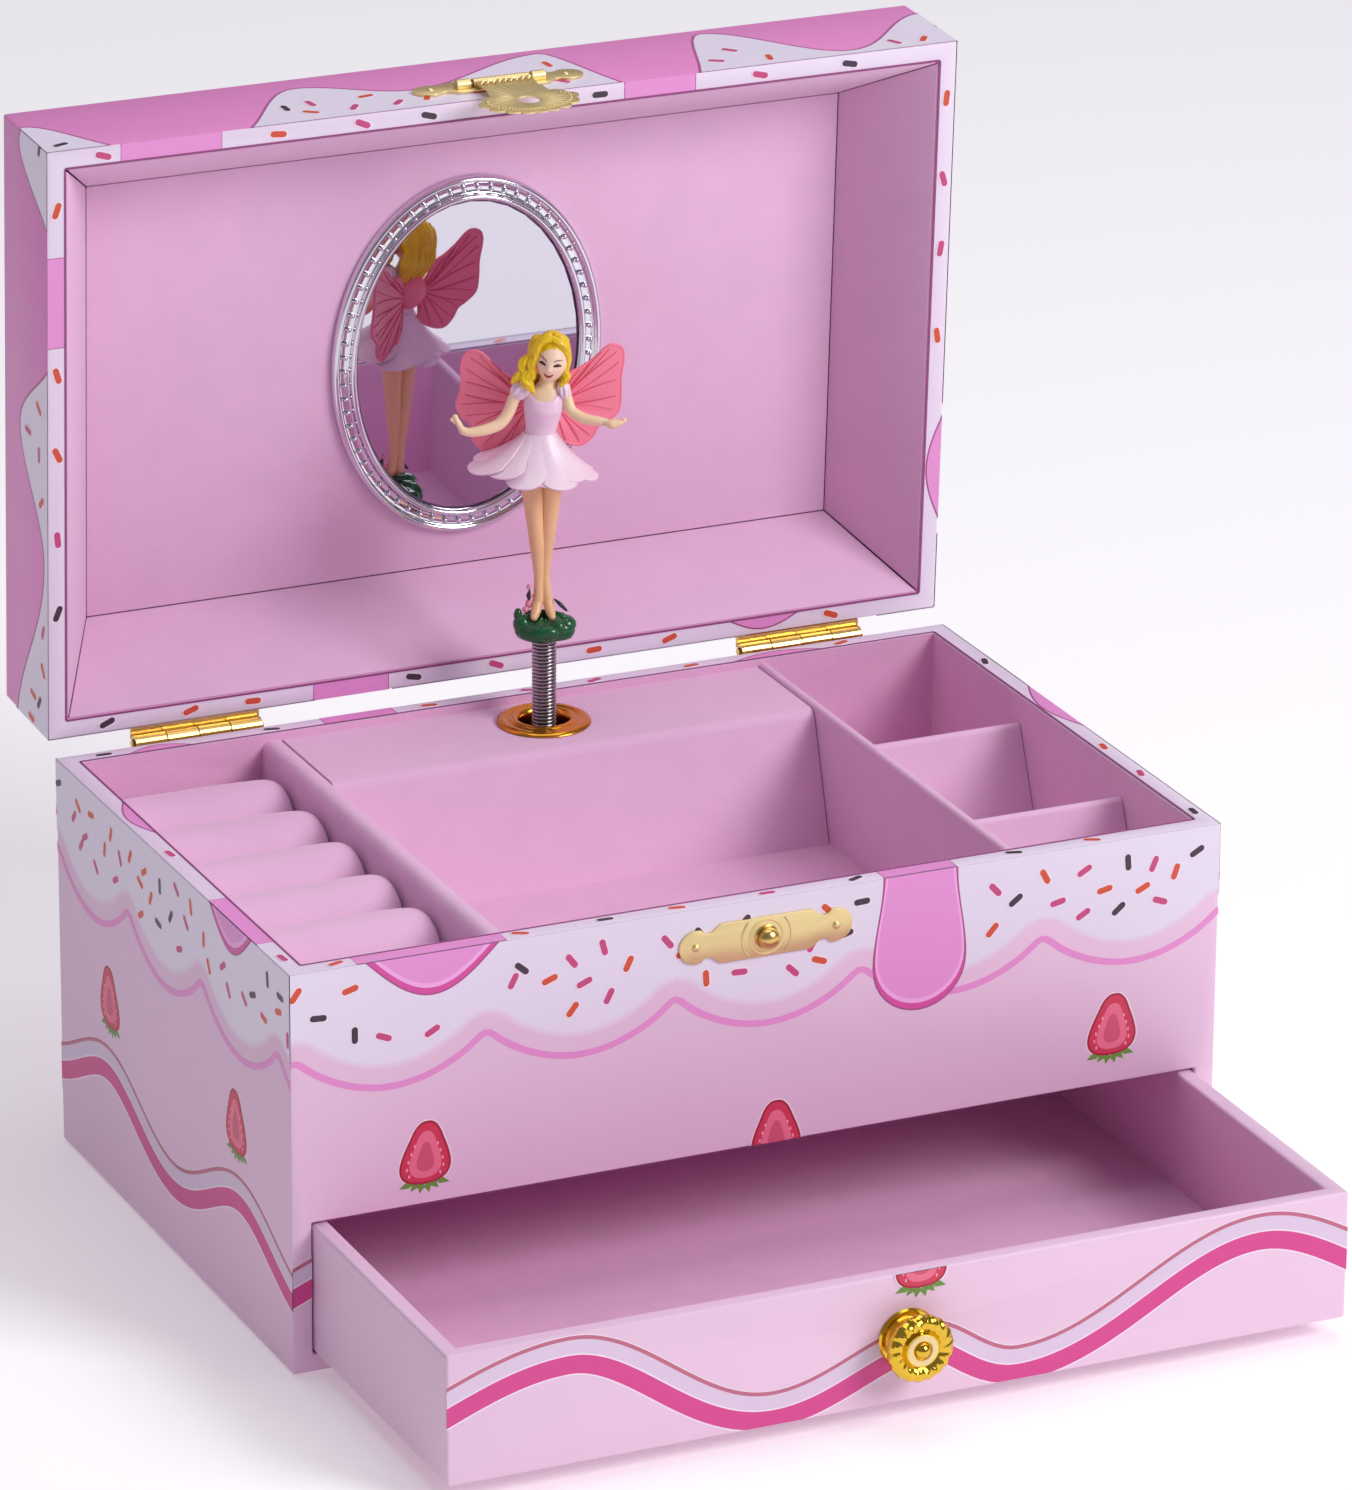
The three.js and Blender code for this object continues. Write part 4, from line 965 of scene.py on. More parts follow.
def shifted(outline, distance, closed=True):
    """Moves each point along the curve's left-hand normal."""
    p = np.array(outline, float)
    if closed:
        ahead = np.roll(p, -1, 0) - np.roll(p, 1, 0)
    else:
        ahead = np.gradient(p, axis=0)
    ahead /= np.maximum(np.linalg.norm(ahead, axis=1, keepdims=True), 1e-9)
    return [tuple(q) for q in p + np.stack([-ahead[:, 1], ahead[:, 0]], 1) * distance]


def anticlockwise(outline):
    area = sum(outline[i - 1][0] * outline[i][1] - outline[i][0] * outline[i - 1][1]
               for i in range(len(outline)))
    return outline if area > 0 else outline[::-1]


def nested(outline, inset):
    return shifted(anticlockwise(outline), inset)


def ribbon(line, above, below):
    """The strip between two curves beside a line that runs left to right."""
    return shifted(line, above, False) + shifted(line, below, False)[::-1]


def capsule(x, z, angle, length=4.4, width=1.65):
    direction = Vector((math.cos(math.radians(angle)), math.sin(math.radians(angle))))
    across = Vector((-direction.y, direction.x))
    outline = []
    for end in (1, -1):
        for i in range(7):
            turn = math.pi * (i / 6 - 0.5)
            outline.append(tuple(Vector((x, z)) + direction * end * (length - width) / 2
                                 + (direction * math.cos(turn) + across * math.sin(turn)) * end * width / 2))
    return outline


def sprinkle(x, z, angle, kind):
    return [(8, halo_white, capsule(x, z, angle, 5.1, 2.35)), (9, SPRINKLES[kind], capsule(x, z, angle))]


def scalloped(peak, high, low, reach=150, step=1.2):
    """The icing's lower line, even scallops hung between high points, as (place, height from the rim)."""
    line = []
    for a in np.arange(-reach, reach, step):
        line.append((a, -high - (low - high) * abs(math.sin(math.pi * (a - peak) / SCALLOP)) ** 0.72))
    p = np.array(line)
    weights = np.hanning(7)[1:-1]
    p[2:-2, 1] = np.convolve(p[:, 1], weights / weights.sum(), "valid")
    return [tuple(q) for q in p]


def icing_patches(line, top):
    """White icing above a scalloped line, its lower edge fading into the paper."""
    patches = []
    rise = [(a, b + top) for a, b in line]
    for level, (gap, colour) in enumerate(zip((4.6, 5.1, 5.6, 6.2), [*icing_edges, icing])):
        edge = shifted(rise, gap, False)
        edge = [edge[0]] + [q for i, q in enumerate(edge[1:], 1) if q[0] > max(r[0] for r in edge[:i])]
        patches.append((level, colour, [(edge[0][0], top + 1), *edge, (edge[-1][0], top + 1)]))
    patches.append((4, scallop_pink, ribbon(rise, 0.85, -0.85)))
    return patches


def drip_patches(outline, low_edge=True):
    """A glossy drip: dark edge, deep pink low edge, a light line and the fill, one in another."""
    outline = anticlockwise(outline)
    patches = [(5, drip_dark, outline), (6, drip_fill, nested(outline, 0.5))]
    if low_edge:
        lifted = [(a, b + 1.3) for a, b in nested(outline, 0.5)]
        patches[1] = (6, drip_low, nested(outline, 0.4))
        patches += [(7, drip_light, nested(lifted, 0.15)),
                    (8, drip_fill, nested([(a, b + 0.5) for a, b in lifted], 0.8))]
    return patches


def berry_patches(x, tip, width=13.6, high=16.4, lean=0.06):
    """Half a strawberry, tip up, with its ring, heart, seeds and leaves."""
    side = [(0, 0), (0.12, -0.02), (0.24, -0.12), (0.34, -0.3), (0.45, -0.52), (0.5, -0.72), (0.44, -0.88),
            (0.28, -0.97), (0.1, -1.0)]
    shape = side + [(-a, b) for a, b in side[::-1]][:-1]

    def at(a, b):
        return (x + a * width + lean * (b + 0.5) * high, tip + b * high)

    outline = anticlockwise(smooth_path([at(a, b) for a, b in shape], 3, True))
    patches = []
    for k in range(6):
        turn = math.radians(-160 + 28 * k)
        root, reach = at(0.06 * (k - 2.5), -0.93), width * (0.36 if k in (0, 5) else 0.27)
        end = (root[0] + reach * math.cos(turn), root[1] + reach * math.sin(turn))
        side_step = Vector((-math.sin(turn), math.cos(turn))) * width * 0.07
        middle = ((root[0] * 0.5 + end[0] * 0.5), (root[1] * 0.5 + end[1] * 0.5))
        leaf = [root, (middle[0] + side_step.x, middle[1] + side_step.y), end,
                (middle[0] - side_step.x, middle[1] - side_step.y)]
        patches.append((2, leaf_green, anticlockwise(leaf)))
    patches += [(1, halo_white, nested(outline, -0.35)), (4, berry_dark, outline),
                (5, berry_red, nested(outline, 0.55))]
    for t, colour, level in ((0.62, berry_light, 6), (0.5, berry_light, 7), (0.34, berry_heart, 8)):
        core = at(0, -0.62)
        scaled = [(core[0] + (a - core[0]) * t, core[1] + (b - core[1]) * (t + 0.12)) for a, b in outline]
        patches.append((level, colour, scaled))
    for a, b in ((-0.28, -0.5), (-0.33, -0.62), (-0.35, -0.74), (0.28, -0.5), (0.33, -0.62), (0.35, -0.74),
                 (-0.22, -0.38), (0.22, -0.38), (-0.3, -0.85), (0.3, -0.85)):
        patches.append((9, berry_seed, capsule(*at(a, b), 90, 0.9, 0.45)))
    return patches


def wave_patches(line):
    """The thin line, pale gap and wide band that run round the foot of the box."""
    return [(0, halo_white, ribbon(line, 0.75, -0.6)), (1, wave_lilac, ribbon(line, 0, -4.6)),
            (2, wave_rose, ribbon(line, 0.5, -0.5)), (3, halo_white, ribbon(line, -4.1, -9.6)),
            (4, wave_magenta, ribbon(line, -4.5, -9.2))]


def print_sheet(name, body, place, spread, windows, patches):
    """Closed flat patches of ink, each (level, material, outline), cut to the windows of one panel."""
    vertices, faces, indices, materials = [], [], [], []
    for level, material, outline in patches:
        for low, high in windows:
            cut = clipped(outline, low, high)
            cut = [q for i, q in enumerate(cut) if math.dist(q, cut[i - 1]) > 1e-4]
            if len(cut) < 3:
                continue
            if material not in materials:
                materials.append(material)
            start, count = len(vertices), len(cut)
            lift = INK_LIFT + INK_STEP * level
            vertices += [spread(a, b, lift) for a, b in cut] + [spread(a, b, -INK_SINK) for a, b in cut]
            faces.append(tuple(range(start, start + count)))
            faces.append(tuple(range(start + 2 * count - 1, start + count - 1, -1)))
            faces += [(start + (i + 1) % count, start + i, start + count + i,
                       start + count + (i + 1) % count)
                      for i in range(count)]
            indices += [materials.index(material)] * (count + 2)
    sheet = add(name, vertices, faces, materials, place, 30, indices)
    flat = bmesh.new()
    flat.from_mesh(sheet.data)
    bmesh.ops.recalc_face_normals(flat, faces=flat.faces)
    flat.to_mesh(sheet.data)
    flat.free()
    for face in sheet.data.polygons:
        face.use_smooth = False
    ride(sheet, body, "printed_paper")


def on_front(y):
    return lambda a, b, lift: (a, y - lift, b)


def on_back(a, b, lift):
    return (a, HALF_Y + lift, b)


def on_left(a, b, lift):
    return (-HALF_X - lift, a, b)


def on_right(a, b, lift):
    return (HALF_X + lift, a, b)


def on_rim(a, b, lift):
    return (a, b, TOP + lift)


def on_lid_rim(a, b, lift):
    return (a, b, LID_BOTTOM - lift)


def window(a0, b0, a1, b1):
    m = INK_MARGIN
    return ((a0 + m, b0 + m), (a1 - m, b1 - m))


def mirrored(patches):
    return [(level, colour, [(-a, b) for a, b in outline]) for level, colour, outline in patches]


SCALLOP = 2 * HALF_X / 5
SPRINKLE_GAP = 11.5
RIM = HALF_Y - IN_Y
OVER = 3


def swell(turns, step=2):
    """A line that eases from each turning point to the next, as a cosine does."""
    line = []
    for (a0, b0), (a1, b1) in zip(turns, turns[1:]):
        count = max(4, round((a1 - a0) / step))
        for i in range(count):
            ease = (1 - math.cos(math.pi * i / count)) / 2
            line.append((a0 + (a1 - a0) * i / count, b0 + (b1 - b0) * ease))
    return [*line, turns[-1]]


def drip(centre, width, depth):
    """A short drip, a cosine arc that starts above the rim, each point (place, depth)."""
    return [(centre + width / 2 * t, depth * math.cos(math.pi / 2 * t)) for t in np.linspace(-1.2, 1.2, 25)]


def tongue(centre, neck, bulb, depth):
    """A long drip that swells from the neck's half width to the bulb's and ends round."""
    middle = depth - bulb
    half = [(neck, -OVER - 1)] + [(wide, below) for below, wide in swell([(0, neck), (middle, bulb)])]
    half += [(bulb * math.cos(turn), middle + bulb * math.sin(turn))
             for turn in np.linspace(0.2, math.pi / 2, 8)]
    return [(centre - a, b) for a, b in half] + [(centre + a, b) for a, b in half[-2::-1]]


def below_rim(top, points):
    return [(a, top - b) for a, b in points]


def scattered(seed, reach, rows, place, fits):
    """Sprinkles on a jittered, staggered grid, wherever the icing has room for one."""
    draw = np.random.default_rng(seed)
    patches = []
    for a in np.arange(-reach, reach, SPRINKLE_GAP):
        for k, row in enumerate(rows):
            x, b = a + SPRINKLE_GAP * (k % 2) / 2 + draw.uniform(-3, 3), row + draw.uniform(-2, 2)
            angle, kind = draw.uniform(-90, 90), "mmoodmo"[draw.integers(7)]
            if fits(x, b):
                patches += sprinkle(x, place(b), angle, kind)
    return patches


def icing_room(line, drips):
    """Whether a sprinkle fits between the rim or a drip and the icing's lower edge."""
    def fits(a, below):
        least = max([4.0] + [depth + 3.5 for centre, width, depth in drips
                             if abs(a - centre) < width / 2 + 3])
        return least < below < -np.interp(a, *zip(*line)) - 9
    return fits


def lobe_room(lobes):
    """Whether a sprinkle fits inside one of the lid's lobes."""
    def fits(a, up):
        return any(all(3 < up < np.interp(a + s, *zip(*swell(turns)), left=0, right=0) - 3.5
                       for s in (-3, 0, 3))
                   for turns in lobes)
    return fits


FRONT_DRIP, SIDE_DRIP = (-88, 35, 11), (-41, 28, 8.4)
TONGUE = (42, 10.2, 12.8, 36.5)
FRONT_WAVE = [(-160, 20), (-88, 1), (-35, 25), (5, 14), (30, 25), (95, 2), (155, 25)]
SIDE_WAVE = [(45 * k, 38.4 if k % 2 else 24.4) for k in range(-2, 3)]


def print_case():
    """Icing, drips, sprinkles, strawberries and waves on the case's four sides and on its rim."""
    front_line = scalloped(26, 21.5, 33)
    front = icing_patches(front_line, TOP)
    front += drip_patches(below_rim(TOP, drip(*FRONT_DRIP)))
    front += drip_patches(below_rim(TOP, tongue(*TONGUE)))
    tongue_span = (TONGUE[0], 2 * TONGUE[2], TONGUE[3])
    front += scattered(3, HALF_X - 4, (6.5, 12.5, 19), lambda b: TOP - b,
                       icing_room(front_line, [FRONT_DRIP, tongue_span]))
    berries = berry_patches(-90, 61) + berry_patches(96, 63.5)
    middle_berry = berry_patches(3.5, 50.5, lean=0)
    upper = window(-HALF_X, BAY_TOP, HALF_X, TOP)
    print_sheet("front_print", "case", None, on_front(-HALF_Y), [upper], front + berries + middle_berry)
    drawer_top = DRAWER_HIGH.z
    foot = below_rim(drawer_top, swell(FRONT_WAVE))
    strips = [window(-HALF_X, 0, -IN_X, BAY_TOP), window(IN_X, 0, HALF_X, BAY_TOP)]
    print_sheet("front_corner_print", "case", None, on_front(-HALF_Y), strips, wave_patches(foot))
    face = wave_patches(foot) + [(level + 10, colour, outline) for level, colour, outline in middle_berry]
    panel = window(DRAWER_LOW.x, DRAWER_LOW.z, DRAWER_HIGH.x, drawer_top)
    print_sheet("drawer_print", "drawer", None, on_front(DRAWER_LOW.y), [panel], face)
    side_line = scalloped(29, 22, 34)
    side = icing_patches(side_line, TOP) + drip_patches(below_rim(TOP, drip(*SIDE_DRIP)))
    side += scattered(5, HALF_Y - 4, (6.5, 12.5, 19), lambda b: TOP - b, icing_room(side_line, [SIDE_DRIP]))
    side += berry_patches(43, 61) + berry_patches(-43, 61) + wave_patches(swell(SIDE_WAVE))
    full = [window(-HALF_Y, 0, HALF_Y, TOP)]
    print_sheet("left_print", "case", None, on_left, full, side)
    print_sheet("right_print", "case", None, on_right, full, mirrored(side))
    back = mirrored(front) + berries + wave_patches([(-a, b) for a, b in foot[::-1]])
    print_sheet("back_print", "case", None, on_back, [window(-HALF_X, 0, HALF_X, TOP)], back)
    print_rim("rim_print", "case", None, on_rim, 7,
              [("front", -88, 39), ("front", 42, 20), ("left", -42, 31), ("back", -43, 20)],
              [("left", 32, 26), ("back", -98, 20), ("back", 75, 30)], [("right", 12, 34)])


def band_across(outline):
    """A drip where it crosses a rim: a dark edge with the fill inside it."""
    outline = anticlockwise(outline)
    return [(0, drip_dark, outline), (1, drip_fill, nested(outline, 0.45))]


def fold_shade_lines():
    """Painted shade: a thin dark line along a rim's inner edge, where the lining is folded in."""
    width, x, y = 0.4, IN_X, IN_Y
    m = 2 * INK_MARGIN
    strips = ((-x, -y - width, x, -y), (-x, y, x, y + width), (-x - width, -y, -x, y),
              (x, -y, x + width, y))
    return [(10, fold_shadow, [(a - m, b - m), (c + m, b - m), (c + m, d + m), (a - m, d + m)])
            for a, b, c, d in strips]


RIM_SIDES = {"front": lambda a, b: (a, -HALF_Y + b), "back": lambda a, b: (a, HALF_Y - b),
             "left": lambda a, b: (-HALF_X + b, a), "right": lambda a, b: (HALF_X - b, a)}


def print_rim(name, body, place, spread, seed, bands, inner, outer):
    """What of the icing runs over a rim, each drip (side, centre, width): right across, or from one edge."""
    # painted shade line along the rim's inner edge, under the print
    patches = fold_shade_lines()
    for side, centre, width in bands:
        corners = ((-1, -OVER), (1, -OVER), (1, RIM + OVER), (-1, RIM + OVER))
        patches += band_across([RIM_SIDES[side](centre + s * width / 2, b) for s, b in corners])
    for side, centre, width in inner:
        patches += band_across([RIM_SIDES[side](a, RIM - b) for a, b in drip(centre, width, RIM - 1.2)])
    for side, centre, width in outer:
        patches += band_across([RIM_SIDES[side](a, b) for a, b in drip(centre, width, RIM - 0.8)])
    draw, drips = np.random.default_rng(seed), bands + inner + outer
    for side, at_rim in RIM_SIDES.items():
        along = side in ("front", "back")
        reach = HALF_X if along else HALF_Y
        for a in np.arange(12 - reach, reach - 8, 2 * SPRINKLE_GAP):
            a, turn, kind = a + draw.uniform(-4, 4), draw.uniform(-25, 25), "mmood"[draw.integers(5)]
            if all(where != side or abs(a - centre) > width / 2 + 4 for where, centre, width in drips):
                patches += sprinkle(*at_rim(a, RIM / 2), turn if along else turn + 90, kind)
    m = 2 * INK_MARGIN
    windows = [window(-HALF_X, -HALF_Y, HALF_X, -IN_Y), window(-HALF_X, IN_Y, HALF_X, HALF_Y),
               window(-HALF_X, -IN_Y - m, -IN_X, IN_Y + m), window(IN_X, -IN_Y - m, HALF_X, IN_Y + m)]
    print_sheet(name, body, place, spread, windows, patches)


LID_LOBES = [[(-150, 0), (-124, 20), (-102, -4)], [(-78, -4), (-50, 24), (-22, 13), (19, 28), (34, -4)],
             [(48, -4), (64, 28), (96, 3), (126, 24), (150, 0)]]
LID_SIDE_LOBES = [[(-95, 0), (-76, 20), (-51, -4)], [(-29, -4), (-1, 20), (32, 3), (84, 23)]]


def lobe(turns, base):
    """White icing with a mauve outline, on the lid's pink."""
    line = swell(turns)
    closing = [(line[-1][0], -OVER - 2), (line[0][0], -OVER - 2)]
    outline = anticlockwise([(a, base + b) for a, b in line + closing])
    return [(0, lobe_line, outline), (1, icing, nested(outline, 0.75))]


def print_lid():
    """The icing that climbs the lid's sides, and what of it crosses the rim."""
    base = LID_BOTTOM
    front = [patch for turns in LID_LOBES for patch in lobe(turns, base)]
    front += scattered(9, HALF_X - 3, (5, 12, 19), lambda b: base + b, lobe_room(LID_LOBES))
    side = [patch for turns in LID_SIDE_LOBES for patch in lobe(turns, base)]
    side += scattered(11, HALF_Y - 3, (5, 12, 19), lambda b: base + b, lobe_room(LID_SIDE_LOBES))
    across = [window(-HALF_X, base, HALF_X, LID_TOP)]
    deep = [window(-HALF_Y, base, HALF_Y, LID_TOP)]
    print_sheet("lid_front_print", "lid", LID, on_front(-HALF_Y), across, front)
    print_sheet("lid_back_print", "lid", LID, on_back, across, mirrored(front))
    print_sheet("lid_left_print", "lid", LID, on_left, deep, side)
    print_sheet("lid_right_print", "lid", LID, on_right, deep, mirrored(side))
    print_rim("lid_rim_print", "lid", LID, on_lid_rim, 13,
              [("front", -92, 27), ("front", 41, 20), ("left", -39, 24), ("back", -42, 21)],
              [("back", 75, 22)], [("right", 39, 30)])


# ------------------------------------------------------------------ dancer

skin = surface("skin", (246, 214, 176), 0.38, mottle=0.02, mottle_size=6, grain=0, Subsurface_Weight=0.12,
               Subsurface_Scale=0.001)
face_skin = surface("face_skin", (248, 214, 190), 0.42, mottle=0.015, mottle_size=6, grain=0)
leg_skin = surface("leg_skin", (243, 196, 146), 0.3, mottle=0.03, mottle_size=9, grain=0)
blush = surface("blush", (246, 150, 96), 0.5, mottle=0.05, mottle_size=3, grain=0)
hair_yellow = surface("hair_yellow", (238, 200, 22), 0.32, mottle=0.16, mottle_size=1.6, grain=0.35,
                      grain_size=0.8)
bodice_pink = surface("bodice_pink", (242, 208, 231), 0.32, mottle=0.03, mottle_size=5, grain=0.04)
petal_pink = surface("petal_pink", (244, 220, 236), 0.3, mottle=0.04, mottle_size=5, grain=0.03)
wing_coral = surface("wing_coral", (250, 130, 156), 0.38, mottle=0.05, mottle_size=4, grain=0.08)
wing_vein = surface("wing_vein", (222, 84, 116), 0.4, mottle=0.03, mottle_size=3, grain=0)
green_gloss = surface("green_gloss", (26, 92, 52), 0.14, mottle=0.1, mottle_size=3, grain=0.05)
brow_brown = surface("brow_brown", (92, 48, 22), 0.5, mottle=0, grain=0)
eye_brown = surface("eye_brown", (58, 26, 16), 0.3, mottle=0, grain=0)
lip_red = surface("lip_red", (160, 52, 46), 0.4, mottle=0, grain=0)
flower_pink = surface("flower_pink", (232, 150, 170), 0.4, mottle=0.05, mottle_size=2, grain=0)
leaf_black = surface("leaf_black", (40, 44, 42), 0.3, mottle=0.05, mottle_size=2, grain=0)

HEAD = (Matrix.Translation((1.8, -0.4, 69.1)) @ Matrix.Rotation(math.radians(8), 4, "Y")
        @ Matrix.Rotation(math.radians(-8), 4, "Z"))
WING_BACK = 5.6
SKIRT_TOP = 51.7


def lofted(rows, sides=28, shape=None):
    """A closed body through ellipses (height, centre x, centre y, half width, half depth)."""
    vertices = []
    for i, (z, cx, cy, rx, ry) in enumerate(rows):
        for j in range(sides):
            angle = 2 * math.pi * j / sides
            dx, dy, dz = rx * math.cos(angle), ry * math.sin(angle), 0
            if shape:
                dx, dy, dz = shape(i / (len(rows) - 1), angle, dx, dy)
            vertices.append((cx + dx, cy + dy, z + dz))
    faces = grid_faces(len(rows), sides, False, True)
    faces += [tuple(range(sides - 1, -1, -1)), tuple(range(len(vertices) - sides, len(vertices)))]
    return vertices, faces


def eased(rows, steps=4):
    return smooth_path(rows, steps)


def limb(points, sides=14, squash=1.0):
    """A bar whose radius, the fourth number of each point, changes smoothly, with round ends."""
    path = smooth_path(points, 6)
    shape = tube([p[:3] for p in path], [p[3] for p in path], sides, squash)
    ends = [ball(path[0][:3], path[0][3] * 0.99, sides, 8),
            ball(path[-1][:3], path[-1][3] * 0.99, sides, 8)]
    return merged([shape, *ends])


def moved(shape, place):
    return [tuple(place @ Vector(v)) for v in shape[0]], shape[1]


def figure_part(name, shapes, material, slot="painted_figure", sharp=50, replaced=()):
    part = add(name, *merged(shapes), [material], DANCER, sharp)
    ride(part, "dancer", slot, *replaced)
    return part


def make_base():
    """The glossy green mound under her feet, with a leaf, a bud and two dark blades."""
    recess = (COLLAR_HIGH.x - COLLAR_LOW.x) / 2 / DANCER_SCALE + 0.35
    profile = [(0, 2.5), (recess, 2.5), (recess, 0.15), (5.6, 0), (6.5, 0.5), (7.0, 1.6), (6.9, 3.0),
               (6.0, 4.3),
               (4.6, 5.1), (2.6, 5.5), (0, 5.7)]

    def lump(angle, radius, height):
        if radius <= recess and height <= 2.5:
            return angle, radius, height
        wave = 1 + 0.07 * math.cos(3 * angle + 0.8) + 0.05 * math.cos(5 * angle + 2.1)
        rise = 1 + 0.1 * math.cos(2 * angle + 0.4) + 0.06 * math.cos(7 * angle)
        return angle, radius * wave, height * rise

    mound = turned("mound", profile, green_gloss, None, 56, lump)
    shape = ([tuple(v.co / MM) for v in mound.data.vertices],
             [tuple(f.vertices) for f in mound.data.polygons])
    bpy.data.objects.remove(mound)
    lobes = [ball((4.9, -1.2, 3.4), 2.9, 20, 12, (1, 1, 0.8)),
             ball((-5.2, -1.8, 3.6), 2.5, 20, 12, (0.9, 1, 1)),
             ball((0.6, -5.2, 2.6), 2.5, 20, 12, (1.3, 0.8, 0.8)),
             ball((-6.2, -1.2, 5.6), 1.2, 14, 10, (0.9, 1, 1.5)),
             ball((-0.6, 5.2, 2.7), 2.6, 20, 12, (1.2, 0.8, 0.8)), ball((3.4, -3.8, 3.6), 1.9, 16, 10)]
    base = figure_part("dancer_base", [shape, *lobes], green_gloss, sharp=70)
    settle(base, 70)
    figure_part("dancer_bud", [ball((-3.7, -0.9, 8.4), 1.0, 12, 8, (0.8, 0.8, 1.2)),
                               ball((-4.4, -1.5, 7.2), 0.8, 12, 8), ball((-3.3, -0.6, 10.4), 0.7, 12, 8),
                               ball((-3.6, -1.4, 12.9), 0.6, 12, 8, (0.9, 0.7, 1.4))], flower_pink)
    figure_part("dancer_blades",
                [limb([(-3.5, -1.5, 9.8, 0.3), (-3.7, -1.8, 10.8, 0.55), (-3.4, -1.6, 12, 0.25)], 10),
                                  limb([(2.5, -0.8, 9.6, 0.2), (3.9, -1.1, 8.4, 0.5),
                                        (5.4, -1.2, 6.9, 0.3)], 10)],
                leaf_black)


def make_legs():
    left = limb([(-2.95, -0.2, 44, 2.9), (-2.65, -0.2, 36, 2.55), (-2.1, -0.1, 28.5, 2.05),
                 (-1.65, 0, 23, 1.85),
                 (-1.3, 0.1, 16, 1.25), (-1.3, -0.1, 12, 1.2), (-1.4, -0.5, 9, 1.35)], 18)
    right = limb([(2.0, 0.5, 44, 2.75), (1.75, 0.5, 36, 2.4), (1.15, 0.7, 28.5, 1.95),
                  (0.65, 0.9, 23, 1.75),
                  (0.2, 0.9, 16, 1.2), (0.5, 0.6, 12, 1.15), (0.9, 0.1, 9, 1.3)], 18)
    feet = [limb([(-1.5, -0.4, 9, 1.35), (-1.9, -1.8, 7, 1.25), (-2.3, -3.4, 5.9, 0.9)], 14),
            limb([(0.9, 0.1, 9, 1.3), (1.5, -1.5, 7, 1.2), (2.0, -3.0, 5.9, 0.85)], 14)]
    figure_part("dancer_legs", [left, right, *feet], leg_skin, sharp=70)


def petal(centre_angle, half_angle, reach, drop, root, lift):
    """One petal of the skirt: round-ended, bowed along its middle and turned up a little at its hem."""
    rows, columns = 14, 15
    vertices = []
    for i in range(rows):
        for j in range(columns):
            u = 2 * j / (columns - 1) - 1
            s = i / (rows - 1) * (1 - 0.26 * abs(u) ** 2.4)
            angle = centre_angle + u * half_angle * (0.75 + 0.25 * s)
            radius = root + (reach - root) * (0.35 * s + 0.65 * s ** 1.35) + (0.95 * (1 - u * u) + lift) * s
            height = SKIRT_TOP - drop * (1.15 * s - 0.15 * s ** 3)
            vertices.append((radius * math.cos(angle) - 0.9 * (1 - s),
                             radius * math.sin(angle) * (0.82 + 0.1 * s),
                             height))
    return vertices, grid_faces(rows, columns)


def make_skirt():
    """Two rounds of petals, those at her right side flaring wider."""
    petals = []
    for half, reach, drop, lift, start in ((33, 11.2, 11.3, 0, -1.12), (31, 10.4, 10.5, -0.5, -1.57)):
        for k in range(7):
            angle = start + 2 * math.pi * k / 7
            left = max(0.0, -math.cos(angle)) ** 1.6
            right = max(0.0, math.cos(angle))
            petals.append(petal(angle, math.radians(half), reach + 6.6 * left + 1.1 * right,
                                drop - 3.0 * left - 0.6 * right, 4.0, lift))
    skirt = add("dancer_skirt", *merged(petals), [petal_pink], DANCER, 60)
    solid = skirt.modifiers.new("thickness", "SOLIDIFY")
    solid.thickness = 0.5 * MM
    solid.offset = -1
    settle(skirt, 60)
    ride(skirt, "dancer", "painted_figure")


def make_torso():
    rows = eased([(48.6, -0.9, 0, 4.5, 3.7), (50.6, -0.9, 0, 3.85, 3.1), (53, -0.6, 0, 3.85, 3.1),
                  (55.4, -0.3, -0.1, 4.35, 3.5), (57.6, -0.1, -0.3, 4.75, 3.95), (59.8, 0, -0.2, 4.8, 3.6),
                  (61.9, 0.1, 0, 4.4, 2.9)])

    def neckline(t, angle, dx, dy):
        front = max(0.0, -math.sin(angle)) ** 1.5
        return dx, dy, (-1.9 * front + 0.9 * abs(math.cos(angle))) * max(0.0, t - 0.82) / 0.18

    figure_part("dancer_bodice", [lofted(rows, 36, neckline)], bodice_pink, sharp=60)
    chest = eased([(56, -0.1, 0, 4.0, 3.1), (58.8, 0, -0.1, 4.4, 3.35), (61.0, 0.1, 0, 4.3, 2.95),
                   (62.5, 0.2, 0.1, 3.7, 2.4), (63.4, 0.4, 0.1, 2.3, 1.9), (65.4, 1.0, 0, 1.75, 1.65),
                   (67.6, 1.5, 0, 1.7, 1.7)])
    figure_part("dancer_chest", [lofted(chest, 32)], skin, replaced=("dancer_figure",), sharp=70)


def frilled(centre, radii, turn):
    """A puffed sleeve with folds that gather to its top."""
    sides, rows = 40, 14
    place = Matrix.Translation(centre) @ Matrix.Rotation(turn, 4, "Y")
    vertices = []
    for i in range(rows + 1):
        theta = math.pi * (0.02 + 0.96 * i / rows)
        for j in range(sides):
            angle = 2 * math.pi * j / sides
            fold = 1 + 0.14 * math.sin(theta) * math.cos(8 * angle + 2.5 * theta)
            vertices.append(tuple(place @ Vector((radii[0] * math.sin(theta) * math.cos(angle) * fold,
                                                  radii[1] * math.sin(theta) * math.sin(angle) * fold,
                                                  radii[2] * math.cos(theta)))))
    faces = grid_faces(rows + 1, sides, False, True)
    faces += [tuple(range(sides - 1, -1, -1)), tuple(range(len(vertices) - sides, len(vertices)))]
    return vertices, faces


